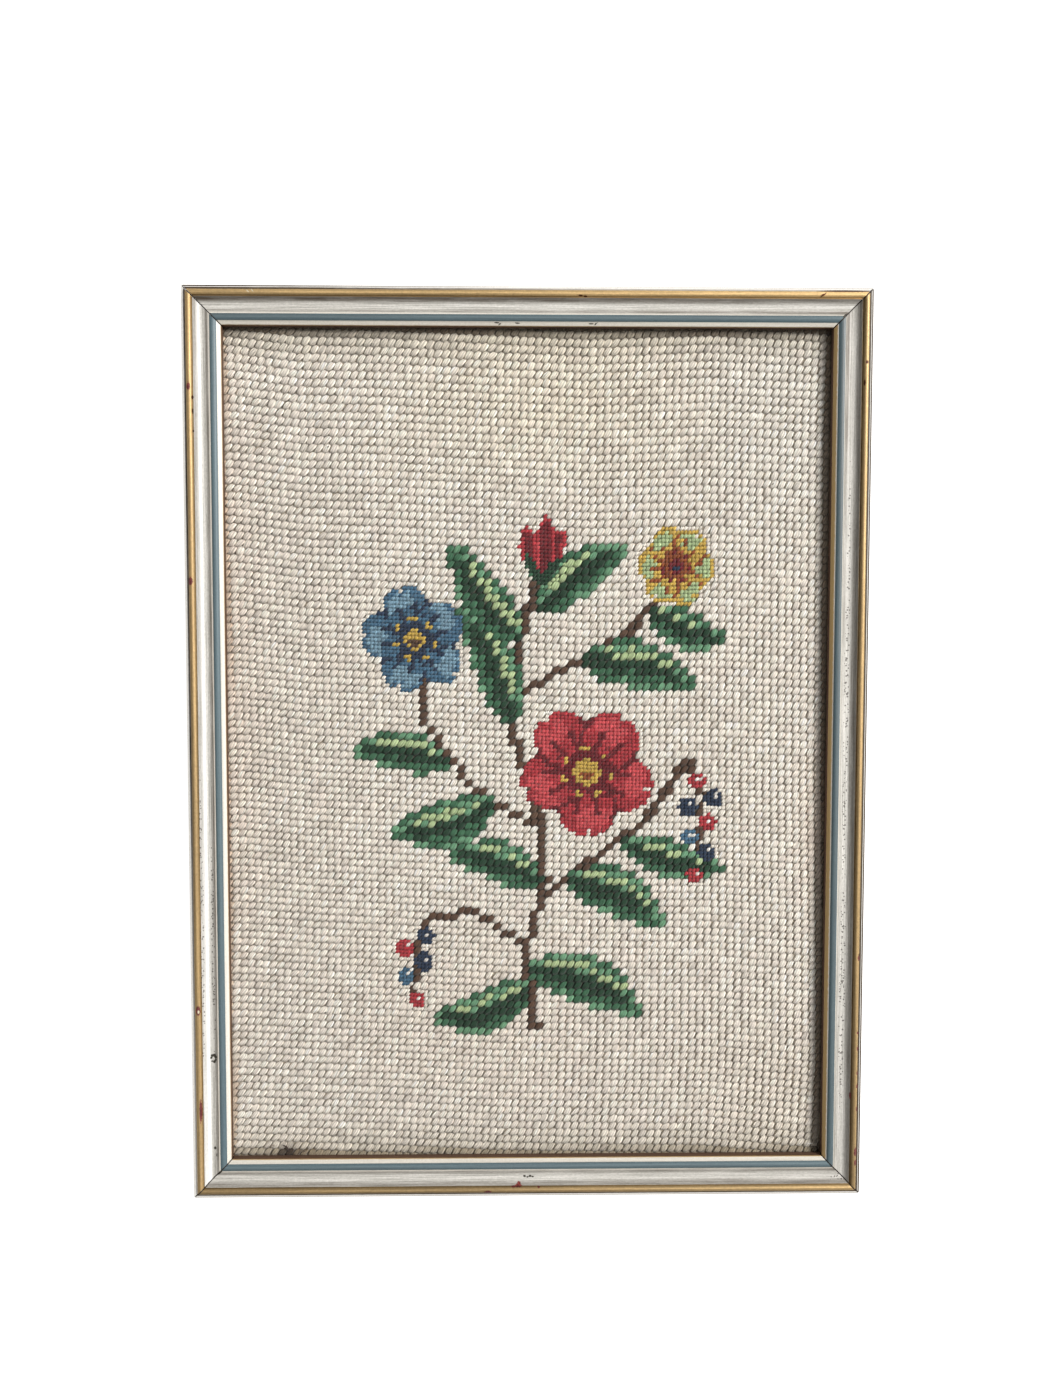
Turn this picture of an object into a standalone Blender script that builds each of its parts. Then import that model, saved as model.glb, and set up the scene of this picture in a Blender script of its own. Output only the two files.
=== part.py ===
"""Framed needlepoint: a stitched wool sheet in a mitred wooden moulding, lying on its back.

The frame lies face up with its back on z = 0. +Y is the top of the picture and +X its right.
The origin is the middle of the back. Sizes are in metres.
"""

import math
from collections import namedtuple

import bmesh
import bpy
from mathutils import Matrix, Vector

MM = 0.001

# Sight opening, counted in stitches of a ten-to-the-inch canvas
STITCH_PITCH = 2.54 * MM
STITCHES_ACROSS = 80
STITCHES_DOWN = 111
SIGHT_WIDTH = STITCHES_ACROSS * STITCH_PITCH
SIGHT_HEIGHT = STITCHES_DOWN * STITCH_PITCH

# Clearance between pieces that touch, and the distance at which points are one
JOINT_GAP = 0.3 * MM
WELD = 0.001 * MM

# Moulding section, measured outwards from the sight edge and up from the back
REBATE_DEPTH = 7.4 * MM
REBATE_WIDTH = 5.0 * MM
LIP_THICKNESS = 3.4 * MM
BACK_ARRIS = 0.5 * MM

# Each band runs outwards by its width while it climbs by its rise.
# A positive swell rounds it out towards the viewer and a negative one hollows it.
Band = namedtuple("Band", "name width rise swell steps")
FRONT_BANDS = (
    Band("sight_lip", 1.6 * MM, 1.1 * MM, 0.08 * MM, 2),
    Band("blue_band", 2.1 * MM, 0.2 * MM, 0.42 * MM, 6),
    Band("inner_fillet", 0.5 * MM, 0.1 * MM, 0.0, 1),
    Band("cove", 4.7 * MM, 1.3 * MM, -1.05 * MM, 10),
    Band("quirk_wall", 0.05 * MM, -0.45 * MM, 0.0, 1),
    Band("quirk_floor", 0.25 * MM, 0.2 * MM, 0.0, 1),
    Band("gold_bead", 2.2 * MM, -0.1 * MM, 0.95 * MM, 10),
    Band("outer_step", 0.05 * MM, -0.3 * MM, 0.0, 1),
    Band("outer_fillet", 1.15 * MM, 0.0, 0.0, 1),
)
RAIL_WIDTH = sum(band.width for band in FRONT_BANDS)
SAWING_LENGTH = 4 * RAIL_WIDTH
CREASE_ANGLE = math.radians(25)

# Backing board, set a little below the back of the frame
BOARD_RECESS = 0.5 * MM
BOARD_THICKNESS = 2.2 * MM
BOARD_CORNER = 0.4 * MM

# Needlepoint sheet: canvas and wool together
SHEET_THICKNESS = 2.4 * MM
SHEET_INTO_REBATE = 4.5 * MM
SHEET_FACE_UNDER_LIP = 0.3 * MM
SHEET_CROWN = 0.9 * MM
SHEET_CROWN_POWER = 4
SHEET_CELL = 6.5 * MM

# The sheet turns down towards the board along its top and right edges
EdgeRoll = namedtuple("EdgeRoll", "across up reach drop")
EDGE_ROLLS = (
    EdgeRoll(1, 0, 3.6 * MM, 1.7 * MM),
    EdgeRoll(0, 1, 2.8 * MM, 1.3 * MM),
)

# Soft upright ripples in the upper half, where the canvas was pulled unevenly.
# Places are from the middle of the panel, and reach is how far a ripple runs up and down.
Ripple = namedtuple("Ripple", "across up half_width reach height")
RIPPLES = (
    Ripple(-56 * MM, 96 * MM, 12 * MM, 44 * MM, 0.38 * MM),
    Ripple(-33 * MM, 92 * MM, 10 * MM, 36 * MM, -0.30 * MM),
    Ripple(-9 * MM, 94 * MM, 13 * MM, 40 * MM, 0.48 * MM),
    Ripple(19 * MM, 98 * MM, 11 * MM, 42 * MM, -0.34 * MM),
    Ripple(42 * MM, 92 * MM, 10 * MM, 50 * MM, 0.34 * MM),
    Ripple(59 * MM, 88 * MM, 8 * MM, 46 * MM, -0.26 * MM),
    Ripple(77 * MM, 90 * MM, 10 * MM, 52 * MM, 0.36 * MM),
    Ripple(-20 * MM, -92 * MM, 16 * MM, 40 * MM, 0.20 * MM),
    Ripple(12 * MM, -96 * MM, 14 * MM, 34 * MM, -0.18 * MM),
)

# One row for each side of the frame: the way out of the picture and the sight length it spans
Side = namedtuple("Side", "name outwards sight_length sight_distance")
SIDES = (
    Side("rail_top", Vector((0, 1, 0)), SIGHT_WIDTH, SIGHT_HEIGHT / 2),
    Side("rail_bottom", Vector((0, -1, 0)), SIGHT_WIDTH, SIGHT_HEIGHT / 2),
    Side("rail_left", Vector((-1, 0, 0)), SIGHT_HEIGHT, SIGHT_WIDTH / 2),
    Side("rail_right", Vector((1, 0, 0)), SIGHT_HEIGHT, SIGHT_WIDTH / 2),
)

# Finishes, with linear colours
Finish = namedtuple("Finish", "colour roughness metallic")
SILVER_PAINT = Finish((0.60, 0.57, 0.53), 0.42, 0.35)
CREAM_WOOL = Finish((0.66, 0.59, 0.49), 0.95, 0.0)
BROWN_BOARD = Finish((0.27, 0.21, 0.15), 0.90, 0.0)


def clear_scene():
    """Remove every object, so that the script can be run again."""
    for old in list(bpy.data.objects):
        bpy.data.objects.remove(old, do_unlink=True)


def new_collection(name):
    """Make the collection that holds the pieces."""
    collection = bpy.data.collections.new(name)
    bpy.context.scene.collection.children.link(collection)
    return collection


def plain_material(name, finish):
    """Make one Principled material."""
    material = bpy.data.materials.new(name)
    material.use_nodes = True
    shader = material.node_tree.nodes["Principled BSDF"]
    shader.inputs["Base Color"].default_value = (*finish.colour, 1.0)
    shader.inputs["Roughness"].default_value = finish.roughness
    shader.inputs["Metallic"].default_value = finish.metallic
    return material


def swelled_run(start, band):
    """Points from just after start to the band's far end, on an arc when the band swells."""
    end = start + Vector((band.width, band.rise))
    if band.swell == 0:
        return [end]
    chord = end - start
    half = chord.length / 2
    depth = abs(band.swell)
    radius = (half * half + depth * depth) / (2 * depth)
    side = Vector((-chord.y, chord.x)).normalized() * math.copysign(1, band.swell)
    centre = (start + end) / 2 + side * (depth - radius)
    half_angle = math.asin(half / radius)
    run = []
    for step in range(1, band.steps + 1):
        angle = half_angle * (2 * step / band.steps - 1)
        run.append(centre + side * radius * math.cos(angle) + chord.normalized() * radius * math.sin(angle))
    return run


def moulding_outline():
    """The moulding's section as (outwards, up) points, from the lip's underside round to the rebate."""
    outline = [Vector((0, REBATE_DEPTH)), Vector((0, REBATE_DEPTH + LIP_THICKNESS))]
    for band in FRONT_BANDS:
        outline += swelled_run(outline[-1], band)
    outline += [
        Vector((RAIL_WIDTH, BACK_ARRIS)),
        Vector((RAIL_WIDTH - BACK_ARRIS, 0)),
        Vector((REBATE_WIDTH, 0)),
        Vector((REBATE_WIDTH, REBATE_DEPTH)),
    ]
    return outline


def extruded_outline(name, outline, length):
    """Extrude a closed flat outline and return it as a welded mesh, centred on its length."""
    curve = bpy.data.curves.new(name + "_outline", "CURVE")
    curve.dimensions = "2D"
    curve.fill_mode = "BOTH"
    curve.extrude = length / 2
    spline = curve.splines.new("POLY")
    spline.points.add(len(outline) - 1)
    for point, place in zip(spline.points, outline):
        point.co = (place.x, place.y, 0, 1)
    spline.use_cyclic_u = True
    guide = bpy.data.objects.new(name + "_outline", curve)
    bpy.context.scene.collection.objects.link(guide)
    bpy.context.view_layer.update()
    evaluated = guide.evaluated_get(bpy.context.evaluated_depsgraph_get())
    mesh = bpy.data.meshes.new_from_object(evaluated)
    bpy.data.objects.remove(guide, do_unlink=True)
    mesh.name = name
    shape = bmesh.new()
    shape.from_mesh(mesh)
    bmesh.ops.remove_doubles(shape, verts=shape.verts, dist=WELD)
    shape.to_mesh(mesh)
    shape.free()
    return mesh


def mitre_ends(mesh, sight_length):
    """Cut both ends at 45 degrees, half a joint gap short of the corner, and close them."""
    shape = bmesh.new()
    shape.from_mesh(mesh)
    for way in (-1, 1):
        slope = Vector((-1, 0, way)).normalized()
        corner = Vector((0, 0, way * sight_length / 2))
        cut = bmesh.ops.bisect_plane(
            shape,
            geom=shape.verts[:] + shape.edges[:] + shape.faces[:],
            plane_co=corner - slope * JOINT_GAP / 2,
            plane_no=slope,
            clear_outer=True,
            dist=WELD,
        )
        rim = [item for item in cut["geom_cut"] if isinstance(item, bmesh.types.BMEdge)]
        bmesh.ops.contextual_create(shape, geom=rim)
    bmesh.ops.recalc_face_normals(shape, faces=shape.faces)
    shape.to_mesh(mesh)
    shape.free()


def build_rail(collection, side, outline):
    """One length of moulding, mitred at both ends and set along its side of the sight opening."""
    mesh = extruded_outline(side.name, outline, side.sight_length + SAWING_LENGTH)
    mitre_ends(mesh, side.sight_length)
    mesh.shade_smooth()
    mesh.set_sharp_from_angle(angle=CREASE_ANGLE)
    rail = bpy.data.objects.new(side.name, mesh)
    up = Vector((0, 0, 1))
    along = side.outwards.cross(up)
    turn = Matrix((side.outwards, up, along)).transposed().to_4x4()
    rail.matrix_world = Matrix.Translation(side.outwards * side.sight_distance) @ turn
    rail.data.materials.append(plain_material(side.name + "_paint", SILVER_PAINT))
    collection.objects.link(rail)
    return rail


def build_backing_board(collection):
    """The plain board that closes the back, inside the rebate."""
    reach = REBATE_WIDTH - JOINT_GAP
    bpy.ops.mesh.primitive_cube_add(size=1)
    board = bpy.context.active_object
    board.name = "backing_board"
    board.data.name = "backing_board"
    board.scale = (SIGHT_WIDTH + 2 * reach, SIGHT_HEIGHT + 2 * reach, BOARD_THICKNESS)
    bpy.ops.object.transform_apply(location=False, rotation=False, scale=True)
    board.location = (0, 0, BOARD_RECESS + BOARD_THICKNESS / 2)
    edge = board.modifiers.new("worn_edge", "BEVEL")
    edge.width = BOARD_CORNER
    edge.segments = 1
    board.data.materials.append(plain_material("backing_board", BROWN_BOARD))
    for home in list(board.users_collection):
        home.objects.unlink(board)
    collection.objects.link(board)
    return board


def smooth_fall(share):
    """Ease from 1 at 0 down to 0 at 1 and beyond."""
    share = min(max(share, 0.0), 1.0)
    return (1 + math.cos(math.pi * share)) / 2


def crown_share(place, half_length):
    """How much of the crown there is at a place along one direction: all in the middle, none at the lip."""
    return max(0.0, 1 - abs(place / half_length) ** SHEET_CROWN_POWER)


def sheet_height(across, up):
    """Height of the sheet's face: a low crown, the upright ripples and the rolled edges."""
    half_across = SIGHT_WIDTH / 2
    half_up = SIGHT_HEIGHT / 2
    inside = crown_share(across, half_across) * crown_share(up, half_up)
    height = REBATE_DEPTH - SHEET_FACE_UNDER_LIP + SHEET_CROWN * inside
    for ripple in RIPPLES:
        sideways = smooth_fall(abs(across - ripple.across) / (2 * ripple.half_width))
        lengthways = smooth_fall(abs(up - ripple.up) / ripple.reach)
        height += ripple.height * sideways * lengthways * min(1.0, 2 * inside)
    drops = []
    for roll in EDGE_ROLLS:
        to_edge = (half_across - across) if roll.across else (half_up - up)
        under_lip = roll.reach / 2
        drops.append(roll.drop * smooth_fall((to_edge + under_lip) / (roll.reach + under_lip)))
    return height - max(drops)


def build_needlepoint(collection):
    """The stitched sheet, held flat under the lip all round and a little uneven in the opening."""
    width = SIGHT_WIDTH + 2 * SHEET_INTO_REBATE
    height = SIGHT_HEIGHT + 2 * SHEET_INTO_REBATE
    shape = bmesh.new()
    bmesh.ops.create_grid(
        shape,
        x_segments=round(width / SHEET_CELL),
        y_segments=round(height / SHEET_CELL),
        size=0.5,
    )
    bmesh.ops.scale(shape, vec=(width, height, 1), verts=shape.verts)
    for roll in EDGE_ROLLS:
        outwards = Vector((roll.across, roll.up, 0))
        edge = SIGHT_WIDTH / 2 if roll.across else SIGHT_HEIGHT / 2
        for share in (0.0, 0.5):
            bmesh.ops.bisect_plane(
                shape,
                geom=shape.verts[:] + shape.edges[:] + shape.faces[:],
                plane_co=outwards * (edge - share * roll.reach),
                plane_no=outwards,
                dist=WELD,
            )
    for vertex in shape.verts:
        vertex.co.z = sheet_height(vertex.co.x, vertex.co.y)
    mesh = bpy.data.meshes.new("needlepoint")
    shape.to_mesh(mesh)
    shape.free()
    mesh.shade_smooth()
    sheet = bpy.data.objects.new("needlepoint", mesh)
    thick = sheet.modifiers.new("canvas_and_wool", "SOLIDIFY")
    thick.thickness = SHEET_THICKNESS
    thick.offset = -1
    sheet.data.materials.append(plain_material("cream_wool", CREAM_WOOL))
    collection.objects.link(sheet)
    return sheet


def main():
    """Build the frame, the stitched sheet and the backing board."""
    clear_scene()
    collection = new_collection("framed_needlepoint")
    outline = moulding_outline()
    for side in SIDES:
        build_rail(collection, side, outline)
    build_needlepoint(collection)
    build_backing_board(collection)


main()
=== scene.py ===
"""Looks of the framed needlepoint: wool stitches on canvas, painted moulding and backing board.

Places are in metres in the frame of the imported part. Its back lies on z = 0, +Y is the top of the
picture and +X its right. Stitches are counted in columns from the left and rows from the top.
"""

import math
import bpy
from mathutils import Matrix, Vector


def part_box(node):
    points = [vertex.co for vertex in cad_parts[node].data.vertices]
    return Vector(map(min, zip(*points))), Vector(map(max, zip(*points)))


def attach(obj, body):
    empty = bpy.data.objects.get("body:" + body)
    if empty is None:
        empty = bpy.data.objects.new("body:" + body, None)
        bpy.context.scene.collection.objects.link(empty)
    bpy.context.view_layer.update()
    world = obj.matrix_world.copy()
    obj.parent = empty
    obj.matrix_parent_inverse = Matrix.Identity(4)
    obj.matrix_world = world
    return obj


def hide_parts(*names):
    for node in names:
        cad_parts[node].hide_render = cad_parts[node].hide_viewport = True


bl_info = {
    "name": "Framed Needlepoint",
    "version": (1, 0, 0),
    "blender": (4, 5, 0),
    "location": "View3D > Sidebar > Needlepoint",
    "description": "Wool stitches, canvas, painted moulding and backing board of a framed needlepoint",
    "category": "Object",
}

from collections import namedtuple

import bpy
import numpy as np
from bpy.props import FloatProperty, FloatVectorProperty, PointerProperty
from mathutils import Matrix, Vector
from mathutils.kdtree import KDTree

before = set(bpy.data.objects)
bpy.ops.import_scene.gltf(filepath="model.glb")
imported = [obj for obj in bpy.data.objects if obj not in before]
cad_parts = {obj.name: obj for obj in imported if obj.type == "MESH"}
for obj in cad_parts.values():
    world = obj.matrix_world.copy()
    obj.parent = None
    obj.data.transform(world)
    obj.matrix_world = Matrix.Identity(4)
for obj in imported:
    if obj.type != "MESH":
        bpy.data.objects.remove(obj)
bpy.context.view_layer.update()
BODY = "root"
MM = 0.001


def in_metres(kind, lengths, rows):
    """Make a table of named rows from rows whose lengths are in millimetres."""
    lengths = lengths.split()

    def in_unit(field, value):
        return value * MM if field in lengths else value

    return tuple(kind(*map(in_unit, kind._fields, row)) for row in rows)


# Sight opening and sheet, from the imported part
SIGHT_WIDTH = 2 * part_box("rail_right")[0].x
SIGHT_HEIGHT = 2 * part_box("rail_top")[0].y
SHEET_WIDTH = 2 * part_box("needlepoint")[1].x
SHEET_HEIGHT = 2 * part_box("needlepoint")[1].y

# Canvas count
STITCHES_ACROSS = 80
STITCHES_DOWN = 111
PITCH = SIGHT_WIDTH / STITCHES_ACROSS

# Moulding section, measured outwards from the sight edge and up from the back
REBATE_DEPTH = 7.4 * MM
REBATE_WIDTH = 5.0 * MM
LIP_THICKNESS = 3.4 * MM
BACK_ARRIS = 0.5 * MM
JOINT_GAP = 0.38 * MM
GLUE_THICKNESS = 0.28 * MM
GLUE_SINK = 0.34 * MM
SOFT_ARRIS = 0.09 * MM
CREASE_ANGLE = math.radians(32)
STATION_STEP = 2.4 * MM

# Bake map of a rail, in shares of the map: its rows, and the two mitre cuts above them
BAKE_ROWS = 3
ROWS_HEIGHT = 0.95
ROW_INSET = 0.02
ROW_FILL = 0.92
SIDE_INSET = 0.01
CUT_PLACES = ((0.02, 0.955), (0.12, 0.955))
CUT_SIZE = (0.04, 0.035)

# Each band runs outwards by its width while it climbs by its rise.
# A positive swell rounds it out towards the viewer and a negative one hollows it.
Band = namedtuple("Band", "finish width rise swell steps")
BANDS = in_metres(Band, "width rise swell", (
    ("lip_paint", 1.4, 0.96, 0.06, 9),
    ("blue_paint", 0.2, 0.14, 0.0, 1),
    ("blue_paint", 2.1, 0.2, 0.42, 9),
    ("lip_paint", 0.5, 0.1, 0.0, 2),
    ("silver_paint", 4.7, 1.3, -1.05, 24),
    ("gilt", 0.05, -0.45, 0.0, 1),
    ("gilt", 0.25, 0.2, 0.0, 2),
    ("gilt", 2.2, -0.1, 0.95, 16),
    ("gilt", 0.05, -0.3, 0.0, 1),
    ("white_paint", 1.15, 0.0, 0.0, 6),
))
RAIL_WIDTH = sum(band.width for band in BANDS)
FINISHES = (
    "lip_paint", "blue_paint", "silver_paint", "gilt", "white_paint", "side_stain", "bare_wood", "mitre_cut"
)

# Dirt and wax together with painted shade, in rows of place outwards from the sight edge and reach to
# each side in millimetres, and amounts at the start, middle and end of each rail. The top and bottom
# rails start at the left, and the others at the bottom. Grooves are thin dark lines of dirt and of the
# shade that falls in the quirks and along the arrises. Tonings are wide: painted shade that darkens
# parts of the lip, hollow and bead where less light falls, together with dirt.
RailTone = namedtuple("RailTone", "outwards reach top bottom left right")
GROOVES = (
    RailTone(0.00, 0.22, (0.80, 0.45, 0.70), (0.80, 0.80, 0.80), (0.30, 0.25, 0.50), (0.75, 0.75, 0.75)),
    RailTone(4.22, 0.30, (0.10, 0.20, 0.25), (0.36, 0.34, 0.32), (0.50, 0.60, 0.30), (0.16, 0.16, 0.20)),
    RailTone(9.04, 0.24, (0.30, 0.28, 0.28), (0.35, 0.35, 0.35), (0.10, 0.10, 0.20), (0.50, 0.60, 0.60)),
    RailTone(11.52, 0.52, (1.00, 0.50, 0.40), (1.00, 1.00, 1.00), (0.05, 0.75, 0.75), (1.00, 1.00, 1.00)),
    RailTone(12.60, 0.58, (0.95, 0.04, 0.25), (0.34, 0.34, 0.34), (0.08, 0.15, 0.15), (1.00, 1.00, 1.00)),
)
SHADE_TONINGS = (
    RailTone(0.80, 1.20, (0.08, 0.05, 0.02), (0.20, 0.18, 0.18), (0.00, 0.00, 0.00), (0.00, 0.00, 0.00)),
    RailTone(1.30, 0.60, (0.34, 0.40, 0.10), (0.20, 0.34, 0.30), (0.00, 0.24, 0.10), (0.24, 0.40, 0.14)),
    RailTone(3.00, 1.30, (0.25, 0.15, 0.10), (0.14, 0.12, 0.12), (0.00, 0.00, 0.00), (0.22, 0.28, 0.45)),
    RailTone(4.00, 0.70, (0.00, 0.00, 0.55), (0.55, 0.50, 0.65), (0.20, 0.50, 0.40), (0.50, 0.15, 0.75)),
    RailTone(4.60, 1.20, (0.34, 0.46, 0.70), (0.46, 0.44, 0.56), (0.48, 0.46, 0.60), (0.34, 0.24, 0.92)),
    RailTone(5.60, 0.90, (0.16, 0.12, 0.36), (0.10, 0.10, 0.20), (0.34, 0.00, 0.28), (0.24, 0.00, 0.52)),
    RailTone(6.40, 2.40, (0.14, 0.10, 0.02), (0.18, 0.14, 0.24), (0.00, 0.00, 0.00), (0.00, 0.06, 0.16)),
    RailTone(7.40, 1.00, (0.32, 0.22, 0.04), (0.10, 0.10, 0.26), (0.00, 0.00, 0.00), (0.10, 0.60, 0.20)),
    RailTone(8.30, 1.70, (0.84, 0.80, 0.56), (0.52, 0.52, 0.66), (0.05, 0.34, 0.50), (0.42, 0.66, 0.56)),
    RailTone(9.70, 1.10, (0.04, 0.04, 0.14), (0.00, 0.00, 0.00), (0.00, 0.00, 0.00), (0.42, 0.22, 0.50)),
    RailTone(10.60, 1.20, (0.00, 0.00, 0.00), (0.00, 0.00, 0.00), (0.10, 0.30, 0.25), (0.00, 0.00, 0.00)),
    RailTone(11.10, 0.90, (0.10, 0.05, 0.00), (0.36, 0.34, 0.30), (0.00, 0.30, 0.10), (0.00, 0.00, 0.00)),
)

# Painted highlight on the silver paint of the hollow, as shares laid out in the same way
PAINTED_HIGHLIGHTS = (
    RailTone(7.20, 1.00, (0.00, 0.00, 0.00), (0.00, 0.00, 0.00), (1.00, 0.75, 0.45), (0.00, 0.00, 0.00)),
    RailTone(8.20, 0.80, (0.00, 0.00, 0.00), (0.00, 0.00, 0.00), (0.45, 0.00, 0.00), (0.00, 0.00, 0.00)),
)
# Near white of the painted highlight
HIGHLIGHT_WHITE = (0.97, 0.96, 0.95, 1.0)

# The way out of the picture, how far the gilt of the sight edge shows on the lip, and the painted
# light of the gilt: how much brighter or darker it is made at the start, middle and end of the rail
Side = namedtuple("Side", "name outwards gilt_edge gilt_light")
SIDES = (
    Side("top", Vector((0, 1, 0)), 0.10 * MM, (0.80, 0.90, 1.3)),
    Side("bottom", Vector((0, -1, 0)), 0.22 * MM, (0.52, 0.56, 0.90)),
    Side("left", Vector((-1, 0, 0)), 0.10 * MM, (0.76, 0.74, 0.90)),
    Side("right", Vector((1, 0, 0)), 1.10 * MM, (0.65, 0.8, 0.75)),
)

# Colour of dirt and painted shade in the grooves and tonings, of the bottom of a dent in paint, in the
# white edge and in gilt, of the dark blotches of the bole, of a scratch, of a speck, and of old glue from
# dark to light
DIRT_AND_SHADE_COLOUR = (0.050, 0.030, 0.012, 1.0)
DEEP_IN_PAINT = (0.030, 0.025, 0.016, 1.0)
DEEP_IN_WHITE = (0.050, 0.028, 0.008, 1.0)
DEEP_IN_GILT = (0.075, 0.018, 0.003, 1.0)
DARK_BOLE = (0.02, 0.004, 0.002, 1.0)
SCRATCHED = (0.80, 0.72, 0.52, 1.0)
SPECK = (0.05, 0.04, 0.034, 1.0)
GLUE_COLOURS = (0.012, 0.009, 0.006, 1.0), (0.05, 0.032, 0.018, 1.0)

# Share of a groove's reach that is wholly dark with dirt and painted shade
LINE_CORE = 0.6

# Height of the streaks of the old paint, and of the strands and fibres of the yarn
PAINT_BUMP = 0.03 * MM
YARN_BUMP = 0.32 * MM

# Strands of the yarn, and how far they turn round it along its length
STRANDS = 3.0
TWIST = 0.42

# Fine grain of the old paint: how many grains there are to a millimetre, and its contrast
GRAIN_SCALE = 1.5
GRAIN = 0.5


def chipped_ring(along, outwards):
    """Rows of the small dents that lie in a ring, as round the head of a nail."""
    chips = (
        (0.2, 0.8, 0.06), (1.0, 1.0, 0.08), (1.9, 1.1, 0.10), (2.7, 1.1, 0.08), (3.5, 0.8, 0.08),
        (4.4, 1.0, 0.08), (5.4, 0.6, 0.06),
    )
    return [
        ("dent", along + 1.2 * math.sin(turn), outwards + 0.8 * math.cos(turn), reach, reach, depth)
        for turn, reach, depth in chips
    ]


# Knocks and rubs of each rail, in millimetres. Along is the place in x on the top and bottom rails
# and in y on the others. Reaches are half lengths along and across the section, and a slanting
# knock moves along by its slant times the distance outwards.
Knock = namedtuple("Knock", "kind along outwards reach_along reach_across depth slant", defaults=(0.0,))
KNOCK_ROWS = {
    "top": (
        ("scratch", -92.2, 10.4, 0.6, 1.5, 0.03, -0.8),
        ("scratch", -90.6, 10.6, 0.45, 1.1, 0.02, -0.8),
        ("dent", 97.6, 10.3, 0.75, 2.8, 0.08, 1.35),
        ("dent", 104.5, 11.42, 18.0, 0.8, 0.02),
        ("dent", -10.6, 1.0, 1.7, 0.42, 0.05, -0.8),
        ("dent", -9.6, 0.6, 0.6, 0.8, 0.05, 1.2),
        ("dent", -3.8, 0.9, 1.8, 0.42, 0.05, -1.0),
        ("dent", 20.6, 0.8, 1.9, 0.38, 0.05),
        ("dent", 22.2, 0.8, 0.6, 1.0, 0.05, 1.0),
        ("dent", 17.0, 9.5, 1.5, 0.45, 0.06),
        ("dent", 18.6, 9.3, 1.2, 0.5, 0.06, -0.5),
        ("dent", 105.0, 3.8, 0.8, 1.6, 0.10, 1.0),
    ),
    "bottom": (
        ("speckle", 107, 7.0, 5.0, 1.9, 0.0),
        ("dent", -105.7, 4.3, 0.9, 1.8, 0.10, -1.0),
        ("dent", -1.2, 6.2, 1.0, 0.8, 0.06),
        ("dent", -0.2, 6.5, 0.8, 0.6, 0.06),
        ("dent", 0.7, 6.2, 1.0, 0.8, 0.06),
        ("dent", 1.6, 6.4, 0.8, 0.6, 0.06),
        ("rub", 3.6, 9.3, 0.8, 0.7, 0.03),
        ("rub", -13.8, 10.8, 2.6, 1.1, 0.03),
        ("rub", -5.0, 9.1, 1.6, 0.6, 0.02),
        ("rub", -3.4, 8.9, 2.5, 1.0, 0.03),
        ("rub", -3.2, 8.2, 1.2, 0.9, 0.03),
    ),
    "left": (
        ("rub", 120.5, 10.4, 2.6, 1.3, 0.03),
        ("rub", 56.6, 10.6, 2.6, 1.6, 0.03),
        ("rub", -88.2, 10.1, 3.2, 1.5, 0.03),
        ("scratch", -88.6, 10.0, 1.2, 0.7, 0.02),
        ("rub", -123, 9.7, 8.0, 0.9, 0.02),
        ("dent", 117.0, 9.1, 1.3, 0.7, 0.06),
        ("dent", 112.5, 9.1, 1.8, 0.5, 0.06),
        ("dent", 106.0, 9.0, 0.9, 0.5, 0.06),
        ("dent", -139, 4.9, 1.5, 0.45, 0.06, 1.0),
        ("dent", -136.6, 5.5, 1.1, 0.9, 0.08),
        ("speckle", -70, 5.2, 66, 0.9, 0.0),
        ("speckle", -60, 8.6, 80, 0.9, 0.0),
        *chipped_ring(-105.4, 5.6),
    ),
    "right": (
        ("dent", 129.2, 10.4, 1.2, 1.0, 0.08),
        ("dent", 122.5, 9.7, 2.0, 0.6, 0.06),
        ("rub", -71.0, 11.0, 1.8, 1.0, 0.05),
        ("dent", -70.0, 11.1, 1.2, 0.6, 0.05),
        ("rub", -97.0, 11.0, 1.0, 0.7, 0.05),
        ("rub", -102.5, 11.1, 1.5, 0.7, 0.05),
        ("rub", -111.0, 11.1, 1.3, 0.7, 0.05),
        ("rub", -115.5, 11.1, 1.5, 0.7, 0.05),
        ("rub", -123.5, 11.1, 1.6, 0.7, 0.05),
        ("rub", -119.0, 8.9, 2.4, 0.6, 0.0),
        ("rub", -138.6, 10.9, 2.8, 1.2, 0.06),
        ("rub", -142.4, 10.9, 2.0, 1.0, 0.06),
        ("speckle", -85, 5.9, 62, 1.7, 0.0),
        ("speckle", 20, 5.8, 120, 1.3, 0.0),
    ),
}
KNOCK_LENGTHS = "along outwards reach_along reach_across depth"
KNOCKS = {side: in_metres(Knock, KNOCK_LENGTHS, rows) for side, rows in KNOCK_ROWS.items()}

# Needlepoint sheet: canvas and wool together, as the part has it
SHEET_THICKNESS = 2.4 * MM
SHEET_FACE_UNDER_LIP = 0.3 * MM
SHEET_CROWN = 0.9 * MM
SHEET_CROWN_POWER = 4
CANVAS_BELOW_FACE = 1.15 * MM
CANVAS_CELL = 2.2 * MM
CANVAS_PAINT = (0.022, 0.030, 0.022, 1.0)
EdgeRoll = namedtuple("EdgeRoll", "across up reach drop")
EDGE_ROLLS = in_metres(EdgeRoll, "reach drop", (
    (1, 0, 3.6, 1.7),
    (0, 1, 2.8, 1.3),
))
Ripple = namedtuple("Ripple", "across up half_width reach height")
RIPPLES = in_metres(Ripple, "across up half_width reach height", (
    (-56, 96, 12, 44, 0.38),
    (-33, 92, 10, 36, -0.30),
    (-9, 94, 13, 40, 0.48),
    (19, 98, 11, 42, -0.34),
    (42, 92, 10, 50, 0.34),
    (59, 88, 8, 46, -0.26),
    (77, 90, 10, 52, 0.36),
    (-20, -92, 16, 40, 0.20),
    (12, -96, 14, 34, -0.18),
))

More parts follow.
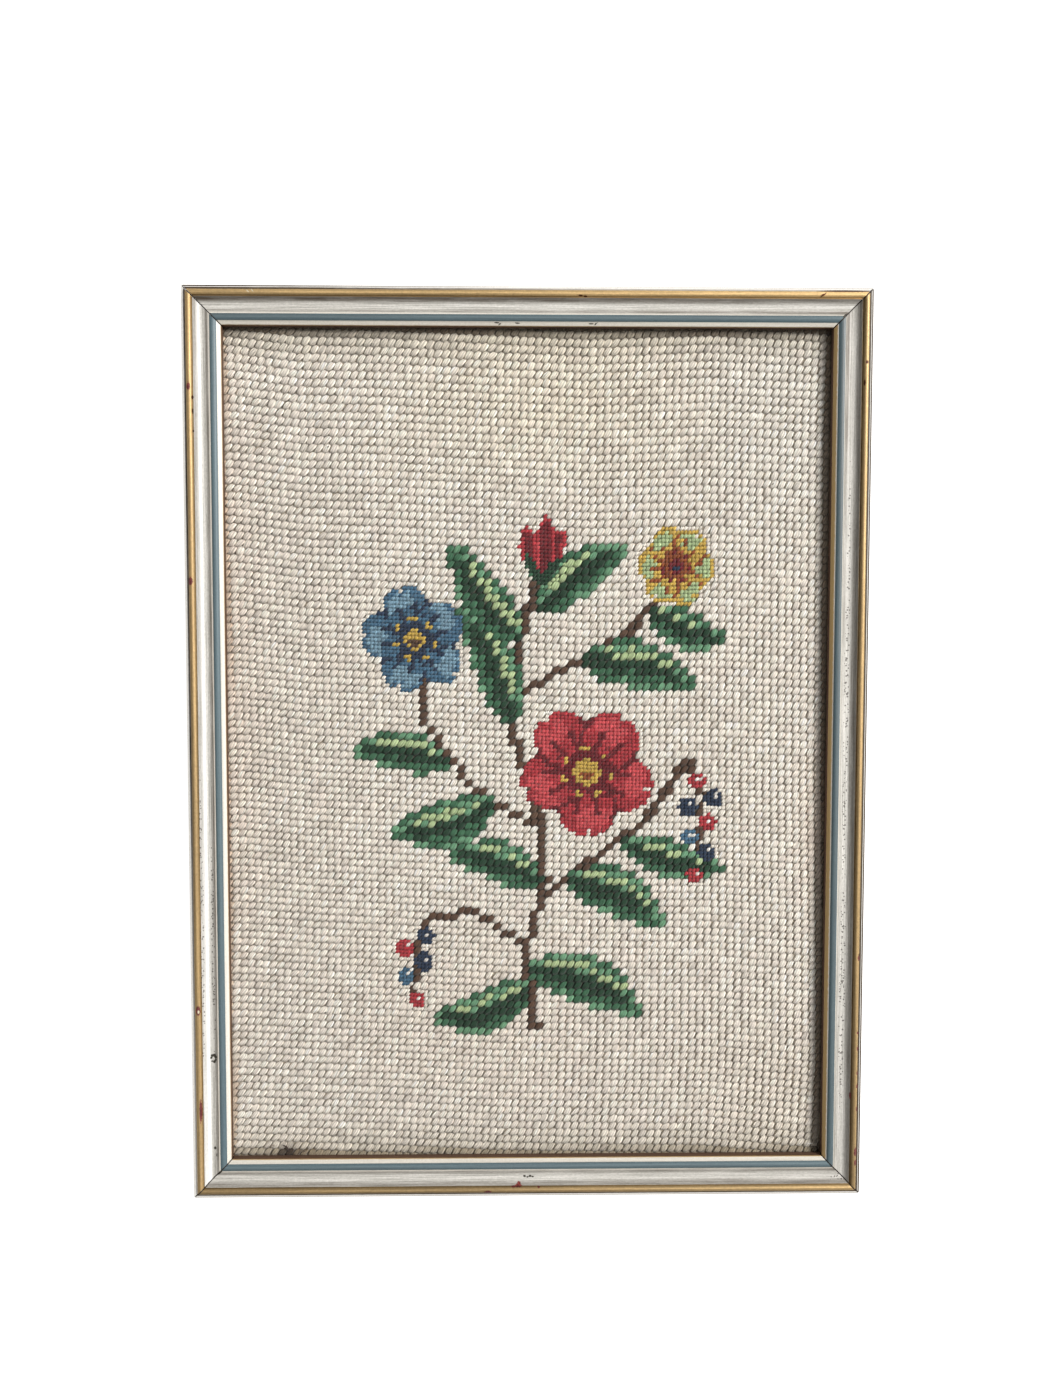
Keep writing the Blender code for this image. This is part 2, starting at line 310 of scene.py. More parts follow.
# How far the pulled canvas lies from a true grid. Columns drift to the right by these lengths at
# a share of the way down, and rows drift down by these at a share of the way across.
ColumnDrift = namedtuple("ColumnDrift", "down left middle right")
COLUMN_DRIFTS = in_metres(ColumnDrift, "left middle right", (
    (0.00, 0.0, 0.0, 0.0),
    (0.10, 1.9, 0.2, -0.8),
    (0.30, 3.7, 0.8, -0.4),
    (0.50, 5.0, 1.4, 0.1),
    (0.70, 5.8, 1.0, 1.7),
    (0.85, 4.9, 0.4, 2.5),
    (1.00, 2.8, -0.8, 0.7),
))
RowDrift = namedtuple("RowDrift", "across top middle bottom")
ROW_DRIFTS = in_metres(RowDrift, "top middle bottom", (
    (0.00, 0.0, 0.0, 0.0),
    (0.12, 2.8, 2.6, 0.9),
    (0.25, 3.3, 4.1, 1.8),
    (0.45, 5.0, 6.4, 3.9),
    (0.60, 6.2, 8.2, 4.6),
    (0.80, 4.8, 8.6, 5.3),
    (1.00, 6.7, 10.7, 9.2),
))
ROW_DRIFT_TOP = 0.1
ROW_DRIFT_SPAN = 0.8
COLUMN_PITCH = 2.59 * MM
RowPitch = namedtuple("RowPitch", "down pitch")
ROW_PITCHES = in_metres(RowPitch, "pitch", (
    (0.0, 2.76),
    (0.1, 2.72),
    (0.2, 2.62),
    (0.4, 2.51),
    (0.6, 2.49),
    (0.8, 2.52),
    (1.0, 2.58),
))
SPARE = 12
UNDER_LIP = 1.5 * MM

# One stitch, closed by a point at each end: how far its rings reach along it, in degrees, how many
# there are, and the points round each. A point lies across and up in shares of the half width and
# of the rise, and dips by its last share of the cleft between two strands.
Spot = namedtuple("Spot", "across up dip")
Shape = namedtuple("Shape", "ring_reach rings spots")
BIG_SHAPE = Shape(66, 5, (
    Spot(1.0, -0.2, 0), Spot(0.64, 0.84, 0), Spot(0.33, 0.92, 1), Spot(0.0, 1.0, 0), Spot(-0.33, 0.92, 1),
    Spot(-0.64, 0.84, 0), Spot(-1.0, -0.2, 0),
))
FINE_SHAPE = Shape(58, 4, (
    Spot(1.0, -0.2, 0), Spot(0.5, 0.92, 0), Spot(0.0, 0.9, 1), Spot(-0.5, 0.92, 0), Spot(-1.0, -0.2, 0),
))

# Painted shade in the clefts between strands and painted highlight on the ridges of a stitch, how far
# its ends sink, how square its plan and its arch are, and how far its highest point lies from its middle
CLEFT_SHADE = 0.20
RIDGE_LIGHT = 0.20
END_SINK = 0.2 * MM
PLUMP_POWER = 2.4
RISE_POWER = 2.4
PEAK_SHIFT = 0.2
# Painted shade at the sunk ends of a stitch, along its low edges and towards its lower end, then the spread
# of tone from strand to strand and the number of strips of the ground
HOLE_SHADE = 0.18
EDGE_SHADE = 0.20
LOW_END_SHADE = 0.24
STRAND_SPREAD = 0.09
GROUND_STRIPS = 4

# Size of a fine stitch against a big one, and how far the yarn goes round a stitch, in its widths
FINE = 0.5
GIRTH = 2.6

# How stitches differ: the spreads of the slants of a stitch and of its ends, how much steeper and
# slimmer a stitch is on the right, and the spreads of its place, twist and lopsidedness
LEAN_SPREAD = math.radians(2.6)
END_LEAN_SPREAD = math.radians(4)
LEAN_GAIN = math.radians(5)
SLIMMING = 0.08
PLACE_SPREAD = 0.02
TWIST_SPREAD = 0.12
SHIFT_SPREAD = 0.14

# How fine stitches differ from big ones, in the spread of tone and in height
FINE_TONE_SPREAD = 1.7
FINE_RISE = 0.72

# Tints of the ground wool, warmer or cooler in places and darker towards the bottom and the left, with a
# dark spot and line at the bottom edge: where each lies, how far it reaches and what it multiplies
Tint = namedtuple("Tint", "across up reach_across reach_up colour")
TINTS = in_metres(Tint, "across up reach_across reach_up", (
    (5, 118, 75, 46, (1.0, 0.985, 0.93)),
    (-103, 20, 20, 170, (1.03, 0.99, 0.97)),
    (100, -28, 12, 48, (1.0, 0.95, 0.93)),
    (-15, -95, 70, 50, (1.0, 0.98, 0.965)),
    (82, 112, 40, 60, (0.97, 0.99, 1.0)),
    (-83.5, -140.6, 5.0, 4.2, (0.08, 0.055, 0.045)),
    (-79, -140, 14, 3.6, (0.72, 0.66, 0.60)),
    (85, -120, 50, 40, (0.94, 0.93, 0.91)),
    (0, -120, 200, 110, (0.945, 0.945, 0.95)),
    (-90, 20, 60, 190, (0.93, 0.925, 0.92)),
))

# Darkening of the wool along the edges of the opening, painted shadow of the lip together with grime:
# how far in it reaches, and what it multiplies the colour by at the edge
EdgeShadow = namedtuple("EdgeShadow", "across up reach colour")
EDGE_SHADOWS = in_metres(EdgeShadow, "reach", (
    (1, 0, 3.0, (0.30, 0.25, 0.20)),
    (0, 1, 3.6, (0.30, 0.26, 0.22)),
    (0, -1, 2.8, (0.50, 0.46, 0.39)),
    (0, 1, 14.0, (0.73, 0.73, 0.69)),
    (0, -1, 15.0, (0.80, 0.80, 0.77)),
    (-1, 0, 1.2, (0.72, 0.64, 0.57)),
))

# Flower spray. Places are (column, row), and lengths are in stitches.
YARNS = (
    "ground", "dark_green", "mid_green", "light_green", "pale_green", "brown",
    "crimson", "bright_red", "dark_red", "navy", "slate_blue", "light_blue", "gold", "rust", "white",
)
Stem = namedtuple("Stem", "points width")
STEMS = (
    Stem(((40, 91), (38.5, 80), (41, 70), (40, 60), (36.5, 49), (37, 38), (41, 27)), 1.15),
    Stem(((40.5, 72), (47, 66.5), (54, 61), (60, 52)), 0.95),
    Stem(((39.5, 62), (31, 57), (25, 49), (24, 40)), 0.95),
    Stem(((37, 44), (45, 39.5), (52, 35.5), (58, 29)), 0.9),
    Stem(((39, 79), (31, 74.5), (25, 76)), 0.85),
    Stem(((60, 52), (62, 57), (61, 68)), 0.7),
    Stem(((25, 76), (23.5, 80), (23, 87)), 0.7),
)
Blade = namedtuple("Blade", "base tip width bend")
LEAVES = (
    Blade((38.8, 82), (54, 88.5), 7.2, 1.6),
    Blade((39.2, 85), (25.5, 90), 6.2, -1.4),
    Blade((40.6, 70), (27.5, 66.5), 6.0, 1.2),
    Blade((44, 69), (57, 76), 6.8, 1.4),
    Blade((51, 63.5), (65, 67.5), 5.4, -0.9),
    Blade((34, 59), (19.5, 64), 6.6, -1.2),
    Blade((28, 54), (14.5, 53), 5.6, 1.0),
    Blade((36.6, 48), (29.5, 32.5), 6.2, 1.2),
    Blade((38, 37), (28.5, 24.5), 6.0, -0.9),
    Blade((40, 33), (52.5, 24), 5.8, 1.1),
    Blade((46, 39), (61, 42.5), 6.4, 1.2),
    Blade((55, 32.5), (65.5, 36.5), 4.8, -0.8),
)
LEAF_TONES = ("dark_green", "mid_green", "light_green", "pale_green")

# Stripes of tone, worked one over another on a leaf or petal. They lie between two shares of its
# half width, where the shaded half is below zero, and between two shares of its length. Tones are
# its rib, shade, light and glint, in that order.
Stripe = namedtuple("Stripe", "tone low high start end")
RIB, SHADE, LIGHT, GLINT = range(4)
STRIPES = (
    Stripe(SHADE, 0.78, 2, -1, 2), Stripe(GLINT, 0.26, 0.58, 0.12, 0.78), Stripe(SHADE, -2, 0.02, -1, 2),
    Stripe(RIB, -0.46, -0.12, -1, 0.8), Stripe(LIGHT, -2, -0.82, 0.3, 2),
)

# Half width of the rib that is worked last, in stitches, the share of the length that it reaches,
# and how far the edge of a stripe wavers
RIB_HALF_WIDTH = 0.55
RIB_END = 0.86
WAVER = 0.26

# Bud and its sepals, then flowers and berries
BUD_PETALS = (
    Blade((40.6, 28.0), (38.6, 22.0), 3.0, -0.4),
    Blade((41.2, 28.0), (43.8, 22.4), 3.0, 0.4),
    Blade((40.9, 28.6), (41.4, 20.6), 3.2, 0.0),
)
BUD_TONES = ("dark_red", "crimson", "crimson", "bright_red")
SEPALS = (
    Blade((41.0, 29.6), (38.8, 25.6), 1.5, -0.3),
    Blade((41.0, 29.6), (43.4, 25.8), 1.5, 0.3),
)
SEPAL_TONES = ("dark_green", "dark_green", "mid_green", "light_green")
Bloom = namedtuple("Bloom", "centre radius petals turn shade middle light heart dots")
BLOOMS = (
    Bloom((46.5, 54), 8.6, 5, 18, "dark_red", "crimson", "bright_red", "gold", "rust"),
    Bloom((23.5, 37.5), 6.8, 5, 40, "navy", "slate_blue", "light_blue", "gold", "brown"),
    Bloom((58.5, 27), 4.9, 6, 8, "rust", "gold", "pale_green", "dark_red", "navy"),
)
Berry = namedtuple("Berry", "column row radius yarn")
BERRIES = (
    Berry(61.2, 55.0, 1.2, "crimson"), Berry(63.4, 57.4, 1.3, "navy"), Berry(60.0, 58.8, 1.3, "navy"),
    Berry(62.6, 60.9, 1.2, "crimson"), Berry(60.2, 63.0, 1.2, "slate_blue"), Berry(62.4, 65.2, 1.2, "navy"),
    Berry(60.8, 68.4, 1.1, "crimson"), Berry(24.6, 78.4, 1.2, "navy"), Berry(21.8, 80.2, 1.2, "crimson"),
    Berry(24.4, 82.0, 1.3, "navy"), Berry(22.0, 84.2, 1.2, "slate_blue"), Berry(23.6, 87.4, 1.1, "crimson"),
)

# Dust and fluff caught on the wool: where it lies, how long it is and its colour
Fluff = namedtuple("Fluff", "across up length radius colour")
FLUFF = in_metres(Fluff, "across up length radius", (
    (-67.0, 101.6, 0.7, 0.16, (0.02, 0.018, 0.016)),
    (82.4, 89.6, 0.9, 0.14, (0.03, 0.028, 0.026)),
    (74.3, -124.8, 0.7, 0.15, (0.02, 0.018, 0.016)),
    (-83.3, -138.6, 3.2, 0.22, (0.05, 0.035, 0.03)),
    (-78.0, -139.4, 4.5, 0.12, (0.12, 0.09, 0.07)),
    (98.0, -138.0, 2.6, 0.10, (0.75, 0.74, 0.72)),
    (-88.0, -137.8, 2.4, 0.09, (0.30, 0.24, 0.19)),
))

# Camera, from the corners of the frame in the photo
CAMERA_PLACE = (-10.3 * MM, 47.6 * MM, 481.7 * MM)
CAMERA_TURN = (math.radians(-3.73), math.radians(-1.07), math.radians(0.01))
SENSOR = 36.0

# Soft light from the upper right, given by its turn from +X and its height above the floor
LIGHT_TURN = math.radians(24)
LIGHT_HEIGHT = math.radians(43)
LIGHT_DISTANCE = 3.0
LIGHT_SIZE = 1.2

# Wide soft light straight above
OVERHEAD_HEIGHT = 2.2
OVERHEAD_SIZE = 1.2

# Colours of the window's light, and of the light above and all round
WINDOW_WHITE = (1.0, 0.985, 0.96)
SOFT_WHITE = (1.0, 0.99, 0.97)

# Width of the floor, and how far it lies below the part's back
FLOOR_SIZE = 6.0
FLOOR_DROP = 0.02 * MM


def colour_property(label, description, hex_colour):
    """A colour setting whose default is a screen colour such as a painter would name it."""
    screen = [int(hex_colour[at:at + 2], 16) / 255 for at in (0, 2, 4)]
    linear = [value / 12.92 if value <= 0.04045 else ((value + 0.055) / 1.055) ** 2.4 for value in screen]
    return FloatVectorProperty(
        name=label, description=description, default=linear, min=0, max=1, subtype="COLOR"
    )


def number_property(label, description, default, **kind):
    """A setting that is one number."""
    return FloatProperty(name=label, description=description, default=default, **kind)


class YarnColours(bpy.types.PropertyGroup):
    """Colours of the wools."""

    ground: colour_property("Ground", "Cream wool of the ground", "F0E7DB")
    dark_green: colour_property("Dark Green", "Midribs and shaded edges of the leaves", "24422F")
    mid_green: colour_property("Mid Green", "Shaded half of the leaves", "3F6B4F")
    light_green: colour_property("Light Green", "Lit half of the leaves", "6B9A78")
    pale_green: colour_property("Pale Green", "Highlights of the leaves", "B4C796")
    brown: colour_property("Brown", "Stems", "5A4436")
    crimson: colour_property("Crimson", "Petals and berries", "B23A41")
    bright_red: colour_property("Bright Red", "Lit parts of the red petals", "CF5358")
    dark_red: colour_property("Dark Red", "Shaded parts of the red petals", "74242B")
    navy: colour_property("Navy", "Berries and shaded parts of the blue petals", "2C3A50")
    slate_blue: colour_property("Slate Blue", "Blue petals", "4A6E88")
    light_blue: colour_property("Light Blue", "Lit parts of the blue petals", "7E9FB2")
    gold: colour_property("Gold", "Small flower and the hearts of the others", "CFAE55")
    rust: colour_property("Rust", "Shaded parts of the small flower", "96522F")
    white: colour_property("White", "Glints on the berries", "EFE9E2")


class StitchSettings(bpy.types.PropertyGroup):
    """Sizes of the stitches."""

    lean: number_property("Lean", "Slant of a stitch from the row", math.radians(60), unit="ROTATION")
    end_lean: number_property("End Lean", "Slant of its two ends", math.radians(-8.5), unit="ROTATION")
    length: number_property("Length", "Length of a stitch", 1.45 * PITCH, unit="LENGTH")
    width: number_property("Width", "Width of a stitch along its ends", 0.985 * PITCH, unit="LENGTH")
    fine_cover: number_property("Fine Cover", "How much fuller the fine stitches are", 1.1)
    cleft: number_property("Cleft", "Depth of the clefts between the strands", 0.42)
    unevenness: number_property("Unevenness", "Spread of size from stitch to stitch", 0.06)
    tone_spread: number_property("Tone Spread", "Spread of tone from stitch to stitch", 0.045)


class MouldingSettings(bpy.types.PropertyGroup):
    """Finishes of the moulding."""

    gilt: colour_property("Gilt", "Outer bead and sight edge", "CDAD79")
    bole: colour_property("Bole", "Red-brown ground that shows where the gilt is rubbed", "8C3C38")
    silver: colour_property("Silver", "Light streaks of the hollow", "E2DFD9")
    silver_shade: colour_property("Silver Shade", "Dark streaks of the hollow", "A5A39C")
    blue: colour_property("Blue", "Line beside the lip", "566970")
    lip: colour_property("Lip", "Off-white of the lip and the small fillet", "E2DDD2")
    white: colour_property("White", "Outer fillet", "F5F3EE")
    stain: colour_property("Stain", "Outer sides", "5B4130")
    wood: colour_property("Wood", "Bare wood of the back and the rebate", "C8A57C")


class BoardSettings(bpy.types.PropertyGroup):
    """Canvas and backing board."""

    board: colour_property("Board", "Backing board", "8D7358")
    canvas: colour_property("Canvas", "Canvas threads between the stitches", "B5AA97")


class StageSettings(bpy.types.PropertyGroup):
    """Camera, floor and lights."""

    lens: number_property("Lens", "Focal length for the 36 mm sensor", 36.0, unit="CAMERA")
    floor: colour_property("Floor", "Pale floor under the frame", "FBFAF8")
    floor_glow: number_property("Floor Glow", "How much the floor shines through its own shadows", 0.95)
    window_power: number_property("Window Power", "Power of the light from the right", 124.0, unit="POWER")
    overhead_power: number_property("Overhead Power", "Power of the wide light above", 12.0, unit="POWER")
    sky_strength: number_property("Sky Strength", "Strength of the even light all round", 0.14)


class NeedlepointSettings(bpy.types.PropertyGroup):
    """All settings of the framed needlepoint."""

    yarns: PointerProperty(type=YarnColours)
    stitches: PointerProperty(type=StitchSettings)
    moulding: PointerProperty(type=MouldingSettings)
    board: PointerProperty(type=BoardSettings)
    stage: PointerProperty(type=StageSettings)


def smooth_fall(share):
    """Ease from 1 at 0 down to 0 at 1 and beyond."""
    return (1 + np.cos(np.pi * np.clip(share, 0.0, 1.0))) / 2


def crown_share(place, half_length):
    """How much of the crown there is along one direction: all in the middle, none at the lip."""
    return np.clip(1 - np.abs(place / half_length) ** SHEET_CROWN_POWER, 0.0, 1.0)


def sheet_height(across, up):
    """Height of the sheet's face: a low crown, the upright ripples and the rolled edges."""
    half_across = SIGHT_WIDTH / 2
    half_up = SIGHT_HEIGHT / 2
    inside = crown_share(across, half_across) * crown_share(up, half_up)
    height = REBATE_DEPTH - SHEET_FACE_UNDER_LIP + SHEET_CROWN * inside
    for ripple in RIPPLES:
        sideways = smooth_fall(np.abs(across - ripple.across) / (2 * ripple.half_width))
        lengthways = smooth_fall(np.abs(up - ripple.up) / ripple.reach)
        height = height + ripple.height * sideways * lengthways * np.minimum(1.0, 2 * inside)
    deepest = 0.0
    for roll in EDGE_ROLLS:
        to_edge = (half_across - across) if roll.across else (half_up - up)
        under_lip = roll.reach / 2
        drop = roll.drop * smooth_fall((to_edge + under_lip) / (roll.reach + under_lip))
        deepest = np.maximum(deepest, drop)
    return height - deepest


def drift_between(table, along, over):
    """Read a drift table at a share along its rows and a share over its three columns of lengths."""
    stations = [row[0] for row in table]
    first, middle, last = (np.interp(along, stations, [row[at] for row in table]) for at in (1, 2, 3))
    over = np.clip(over, 0.0, 1.0) * 2
    near = first + (middle - first) * over
    far = middle + (last - middle) * (over - 1)
    return np.where(over < 1, near, far)


def row_distance(row):
    """Distance of a row's line below the top of the opening, before the threads were pulled."""
    lines = np.arange(-SPARE, STITCHES_DOWN + SPARE + 1)
    middles = (lines[:-1] + 0.5) / STITCHES_DOWN
    pitches = np.interp(middles, [step.down for step in ROW_PITCHES], [step.pitch for step in ROW_PITCHES])
    distances = np.concatenate(([0.0], np.cumsum(pitches)))
    return np.interp(row, lines, distances - distances[SPARE])


def canvas_place(column, row):
    """Where a point of the canvas lies, as x and y, counted in stitches from the top left."""
    across = column * COLUMN_PITCH / SIGHT_WIDTH
    down = row_distance(row) / SIGHT_HEIGHT
    x = (across - 0.5) * SIGHT_WIDTH + drift_between(COLUMN_DRIFTS, down, across)
    lower = drift_between(ROW_DRIFTS, across, (down - ROW_DRIFT_TOP) / ROW_DRIFT_SPAN)
    y = (0.5 - down) * SIGHT_HEIGHT - lower
    return np.stack((x, y), axis=-1)


def unit(vectors):
    """Scale each vector to length 1."""
    return vectors / np.linalg.norm(vectors, axis=-1, keepdims=True)


def paint_stems(place, yarn):
    """Mark the places that stems cover."""
    for stem in STEMS:
        points = np.array(stem.points, float)
        for start, end in zip(points[:-1], points[1:]):
            run = end - start
            share = np.clip((place - start) @ run / (run @ run), 0, 1)
            distance = np.linalg.norm(place - start - share[..., None] * run, axis=-1)
            yarn[distance < stem.width / 2] = YARNS.index("brown")


def unsure(place):
    """A small number for each place, which makes the edges of a shade uneven as by hand."""
    waves = np.sin(place[..., 0] * 12.99 + place[..., 1] * 78.23) * 437.58
    return waves - np.floor(waves) - 0.5


def paint_blades(place, yarn, blades, tones):
    """Mark the places that leaves or long petals cover, with a dark rib, a lit half and a shaded half."""
    tones = [YARNS.index(name) for name in tones]
    for blade in blades:
        base, tip = np.array(blade.base, float), np.array(blade.tip, float)
        length = np.linalg.norm(tip - base)
        axis = (tip - base) / length
        side = np.array((axis[1], -axis[0]))
        if side[1] > 0:
            side = -side
        forward = (place - base) @ axis
        along = np.clip(forward / length, 0, 1)
        across = (place - base) @ side - blade.bend * np.sin(np.pi * along)
        half = blade.width / 2 * np.sin(np.pi * along ** 0.8) ** 0.7
        share = across / np.maximum(half, 0.01)
        inside = (forward > 0) & (forward < length) & (np.abs(share) < 1)
        wavering = share + WAVER * unsure(place)
        tone = np.full(along.shape, tones[LIGHT])
        for stripe in STRIPES:
            in_width = (wavering > stripe.low) & (wavering < stripe.high)
            in_length = (along > stripe.start) & (along < stripe.end)
            tone[in_width & in_length] = tones[stripe.tone]
        tone[(np.abs(across) < RIB_HALF_WIDTH) & (along < RIB_END)] = tones[RIB]
        yarn[inside] = tone[inside]


def paint_blooms(place, yarn):
    """Mark the places that flowers cover: notched petals laid over each other round a dotted heart."""
    for bloom in BLOOMS:
        offset = place - np.array(bloom.centre, float)
        distance = np.linalg.norm(offset, axis=-1)
        shade, middle, light = (YARNS.index(name) for name in (bloom.shade, bloom.middle, bloom.light))
        for petal in range(bloom.petals):
            angle = math.radians(bloom.turn) + 2 * math.pi * petal / bloom.petals
            out = np.array((math.cos(angle), math.sin(angle)))
            side = np.array((-out[1], out[0]))
            reach = (offset @ out - 0.56 * bloom.radius) / (0.50 * bloom.radius)
            spread = offset @ side / (0.46 * bloom.radius)
            share = np.sqrt(reach ** 2 + spread ** 2)
            notch = (reach > 0.72) & (np.abs(spread + 0.08) < 0.5 * (reach - 0.72))
            inside = (share < 1) & ~notch
            wavering = reach + 0.3 * unsure(place)
            veins = (np.abs(np.abs(spread) - 0.24 * (1.3 + reach)) < 0.09) & (reach < 0.25)
            tone = np.full(share.shape, middle)
            tone[(wavering > 0.05) & (wavering < 0.72) & (spread < 0.34)] = light
            tone[(wavering < -0.42) | veins | (share > 0.88)] = shade
            tone[(share > 0.88) & (reach > 0.35)] = middle
            yarn[inside] = tone[inside]
        turn = np.arctan2(offset[..., 1], offset[..., 0])
        yarn[distance < 0.30 * bloom.radius] = shade
        yarn[distance < 0.21 * bloom.radius] = YARNS.index(bloom.heart)
        yarn[(distance < 0.12 * bloom.radius) & (offset[..., 1] > 0)] = YARNS.index(bloom.dots)
        ring = np.abs(distance - 0.38 * bloom.radius) < 0.27
        yarn[ring & (np.sin(turn * 7 + 0.6) > 0.3)] = YARNS.index(bloom.heart)


def paint_berries(place, yarn):
    """Mark the places that berries cover, each with a white glint."""
    for berry in BERRIES:
        offset = place - np.array((berry.column, berry.row))
        distance = np.linalg.norm(offset, axis=-1)
        yarn[distance < berry.radius] = YARNS.index(berry.yarn)
        glint = np.linalg.norm(offset - np.array((0.25, -0.3)) * berry.radius, axis=-1)
        yarn[glint < 0.3] = YARNS.index("white")


def chart_spray():
    """Chart the design. Returns big and fine stitches, each as columns, rows and yarns.

    Flowers and berries are worked in fine stitches, four to a square of the canvas, and so is the
    ground of every square that they touch."""
    columns, rows = np.meshgrid(
        np.arange(-SPARE, STITCHES_ACROSS + SPARE) + 0.5,
        np.arange(-SPARE, STITCHES_DOWN + SPARE) + 0.5,
        indexing="ij",
    )
    centres = np.stack((columns, rows), axis=-1).reshape(-1, 2)
    quarters = np.array(((-0.25, -0.25), (0.25, -0.25), (-0.25, 0.25), (0.25, 0.25)))
    fine = centres[:, None, :] + quarters
    fine_yarn = np.zeros(fine.shape[:2], int)
    paint_fine_motifs(fine, fine_yarn)
    touched = (fine_yarn > 0).any(axis=1)
    fine = fine[touched].reshape(-1, 2)
    fine_yarn = np.zeros(len(fine), int)
    big = centres[~touched]
    big_yarn = np.zeros(len(big), int)
    for place, yarn in ((fine, fine_yarn), (big, big_yarn)):
        paint_stems(place, yarn)
        paint_blades(place, yarn, LEAVES, LEAF_TONES)
    paint_fine_motifs(fine, fine_yarn)
    seen = inside_opening(big)
    return (big[seen], big_yarn[seen]), (fine, fine_yarn)


def paint_fine_motifs(place, yarn):
    """Mark the places of all that is worked in fine stitches."""
    paint_blades(place, yarn, BUD_PETALS, BUD_TONES)
    paint_blades(place, yarn, SEPALS, SEPAL_TONES)
    paint_blooms(place, yarn)
    paint_berries(place, yarn)


def inside_opening(cells):
    """Which squares of the canvas show in the opening or just under the lip."""
    place = canvas_place(cells[:, 0], cells[:, 1])
    across = np.abs(place[:, 0]) < SIGHT_WIDTH / 2 + UNDER_LIP
    up = np.abs(place[:, 1]) < SIGHT_HEIGHT / 2 + UNDER_LIP
    return across & up


def stitch_faces(shape):
    """Faces of one stitch as vertex numbers, with the place of each corner along and round it.

    Rings come first, then the point at the near end and the one at the far end."""
    round_count = len(shape.spots)
    near = shape.rings * round_count
    far = near + 1
    faces, places = [], []
    for step in range(round_count):
        after = (step + 1) % round_count
        faces.append((near, after, step))
        places.append(((0, step + 0.5), (1, step + 1), (1, step)))
        for ring in range(shape.rings - 1):
            low, high = ring * round_count, (ring + 1) * round_count
            faces.append((low + step, low + after, high + after, high + step))
            places.append(((ring + 1, step), (ring + 1, step + 1), (ring + 2, step + 1), (ring + 2, step)))
        top = (shape.rings - 1) * round_count
        faces.append((top + step, top + after, far))
        places.append(((shape.rings, step), (shape.rings, step + 1), (shape.rings + 1, step + 0.5)))
    return faces, places


def stitch_points(shape, lay):
    """Vertices of many stitches, and how far along its stitch each one is, from -1 to 1."""
    angles = np.radians(np.linspace(-shape.ring_reach, shape.ring_reach, shape.rings))
    along = np.concatenate((np.repeat(np.sin(angles), len(shape.spots)), (-1.0, 1.0)))
    across, up, dip = (
        np.concatenate((np.tile(spots, shape.rings), (0.0, 0.0))) for spots in zip(*shape.spots)
    )
    length, width, rise, cleft, twist, shift = (
        lay[name][:, None] for name in ("length", "width", "rise", "cleft", "twist", "shift")
    )
    moved = across + (shift + twist * along) * (1 - np.abs(across)) * (up > 0)
    plump = np.sqrt(1 - np.abs(along) ** PLUMP_POWER)
    from_peak = np.abs(along + PEAK_SHIFT * (1 - along ** 2))
    arch = (1 - from_peak ** RISE_POWER) ** 0.8
    on_axis = along * length / 2
    off_axis = plump * moved * width / 2
    centre, axis, side = (lay[name][:, None, :] for name in ("centre", "axis", "side"))
    flat = centre + on_axis[..., None] * axis + off_axis[..., None] * side
    top = rise * arch - END_SINK * (1 - arch)
    middle = (top - END_SINK) / 2
    height = middle + (top + END_SINK) / 2 * (up - cleft * dip)
    face = sheet_height(flat[..., 0], flat[..., 1])
    return np.concatenate((flat, (face - CANVAS_BELOW_FACE + height)[..., None]), axis=-1), along


def tints_and_edge_shadows(centre):
    """What the tints and the painted shadow with grime along the edges multiply the colour of the wool by at
    each place.
    """
    tinted_and_shaded = np.ones((len(centre), 3))
    for tint in TINTS:
        sideways = smooth_fall(np.abs(centre[:, 0] - tint.across) / tint.reach_across)
        lengthways = smooth_fall(np.abs(centre[:, 1] - tint.up) / tint.reach_up)
        tinted_and_shaded *= 1 - (sideways * lengthways)[:, None] * (1 - np.array(tint.colour))
    # Painted shadow of the lip, with grime, darkens the wool towards each edge of the opening
    for edge_shadow in EDGE_SHADOWS:
        out = edge_shadow.across * centre[:, 0] + edge_shadow.up * centre[:, 1]
        half_opening = (SIGHT_WIDTH if edge_shadow.across else SIGHT_HEIGHT) / 2
        dirtied_and_shaded = smooth_fall((half_opening - out) / edge_shadow.reach)
        tinted_and_shaded *= 1 - dirtied_and_shaded[:, None] * (1 - np.array(edge_shadow.colour))
    return tinted_and_shaded


def leaning(rightwards, upwards, lean):
    """Directions that lean from the row by an angle."""
    return unit(rightwards * np.cos(lean)[:, None] + upwards * np.sin(lean)[:, None])


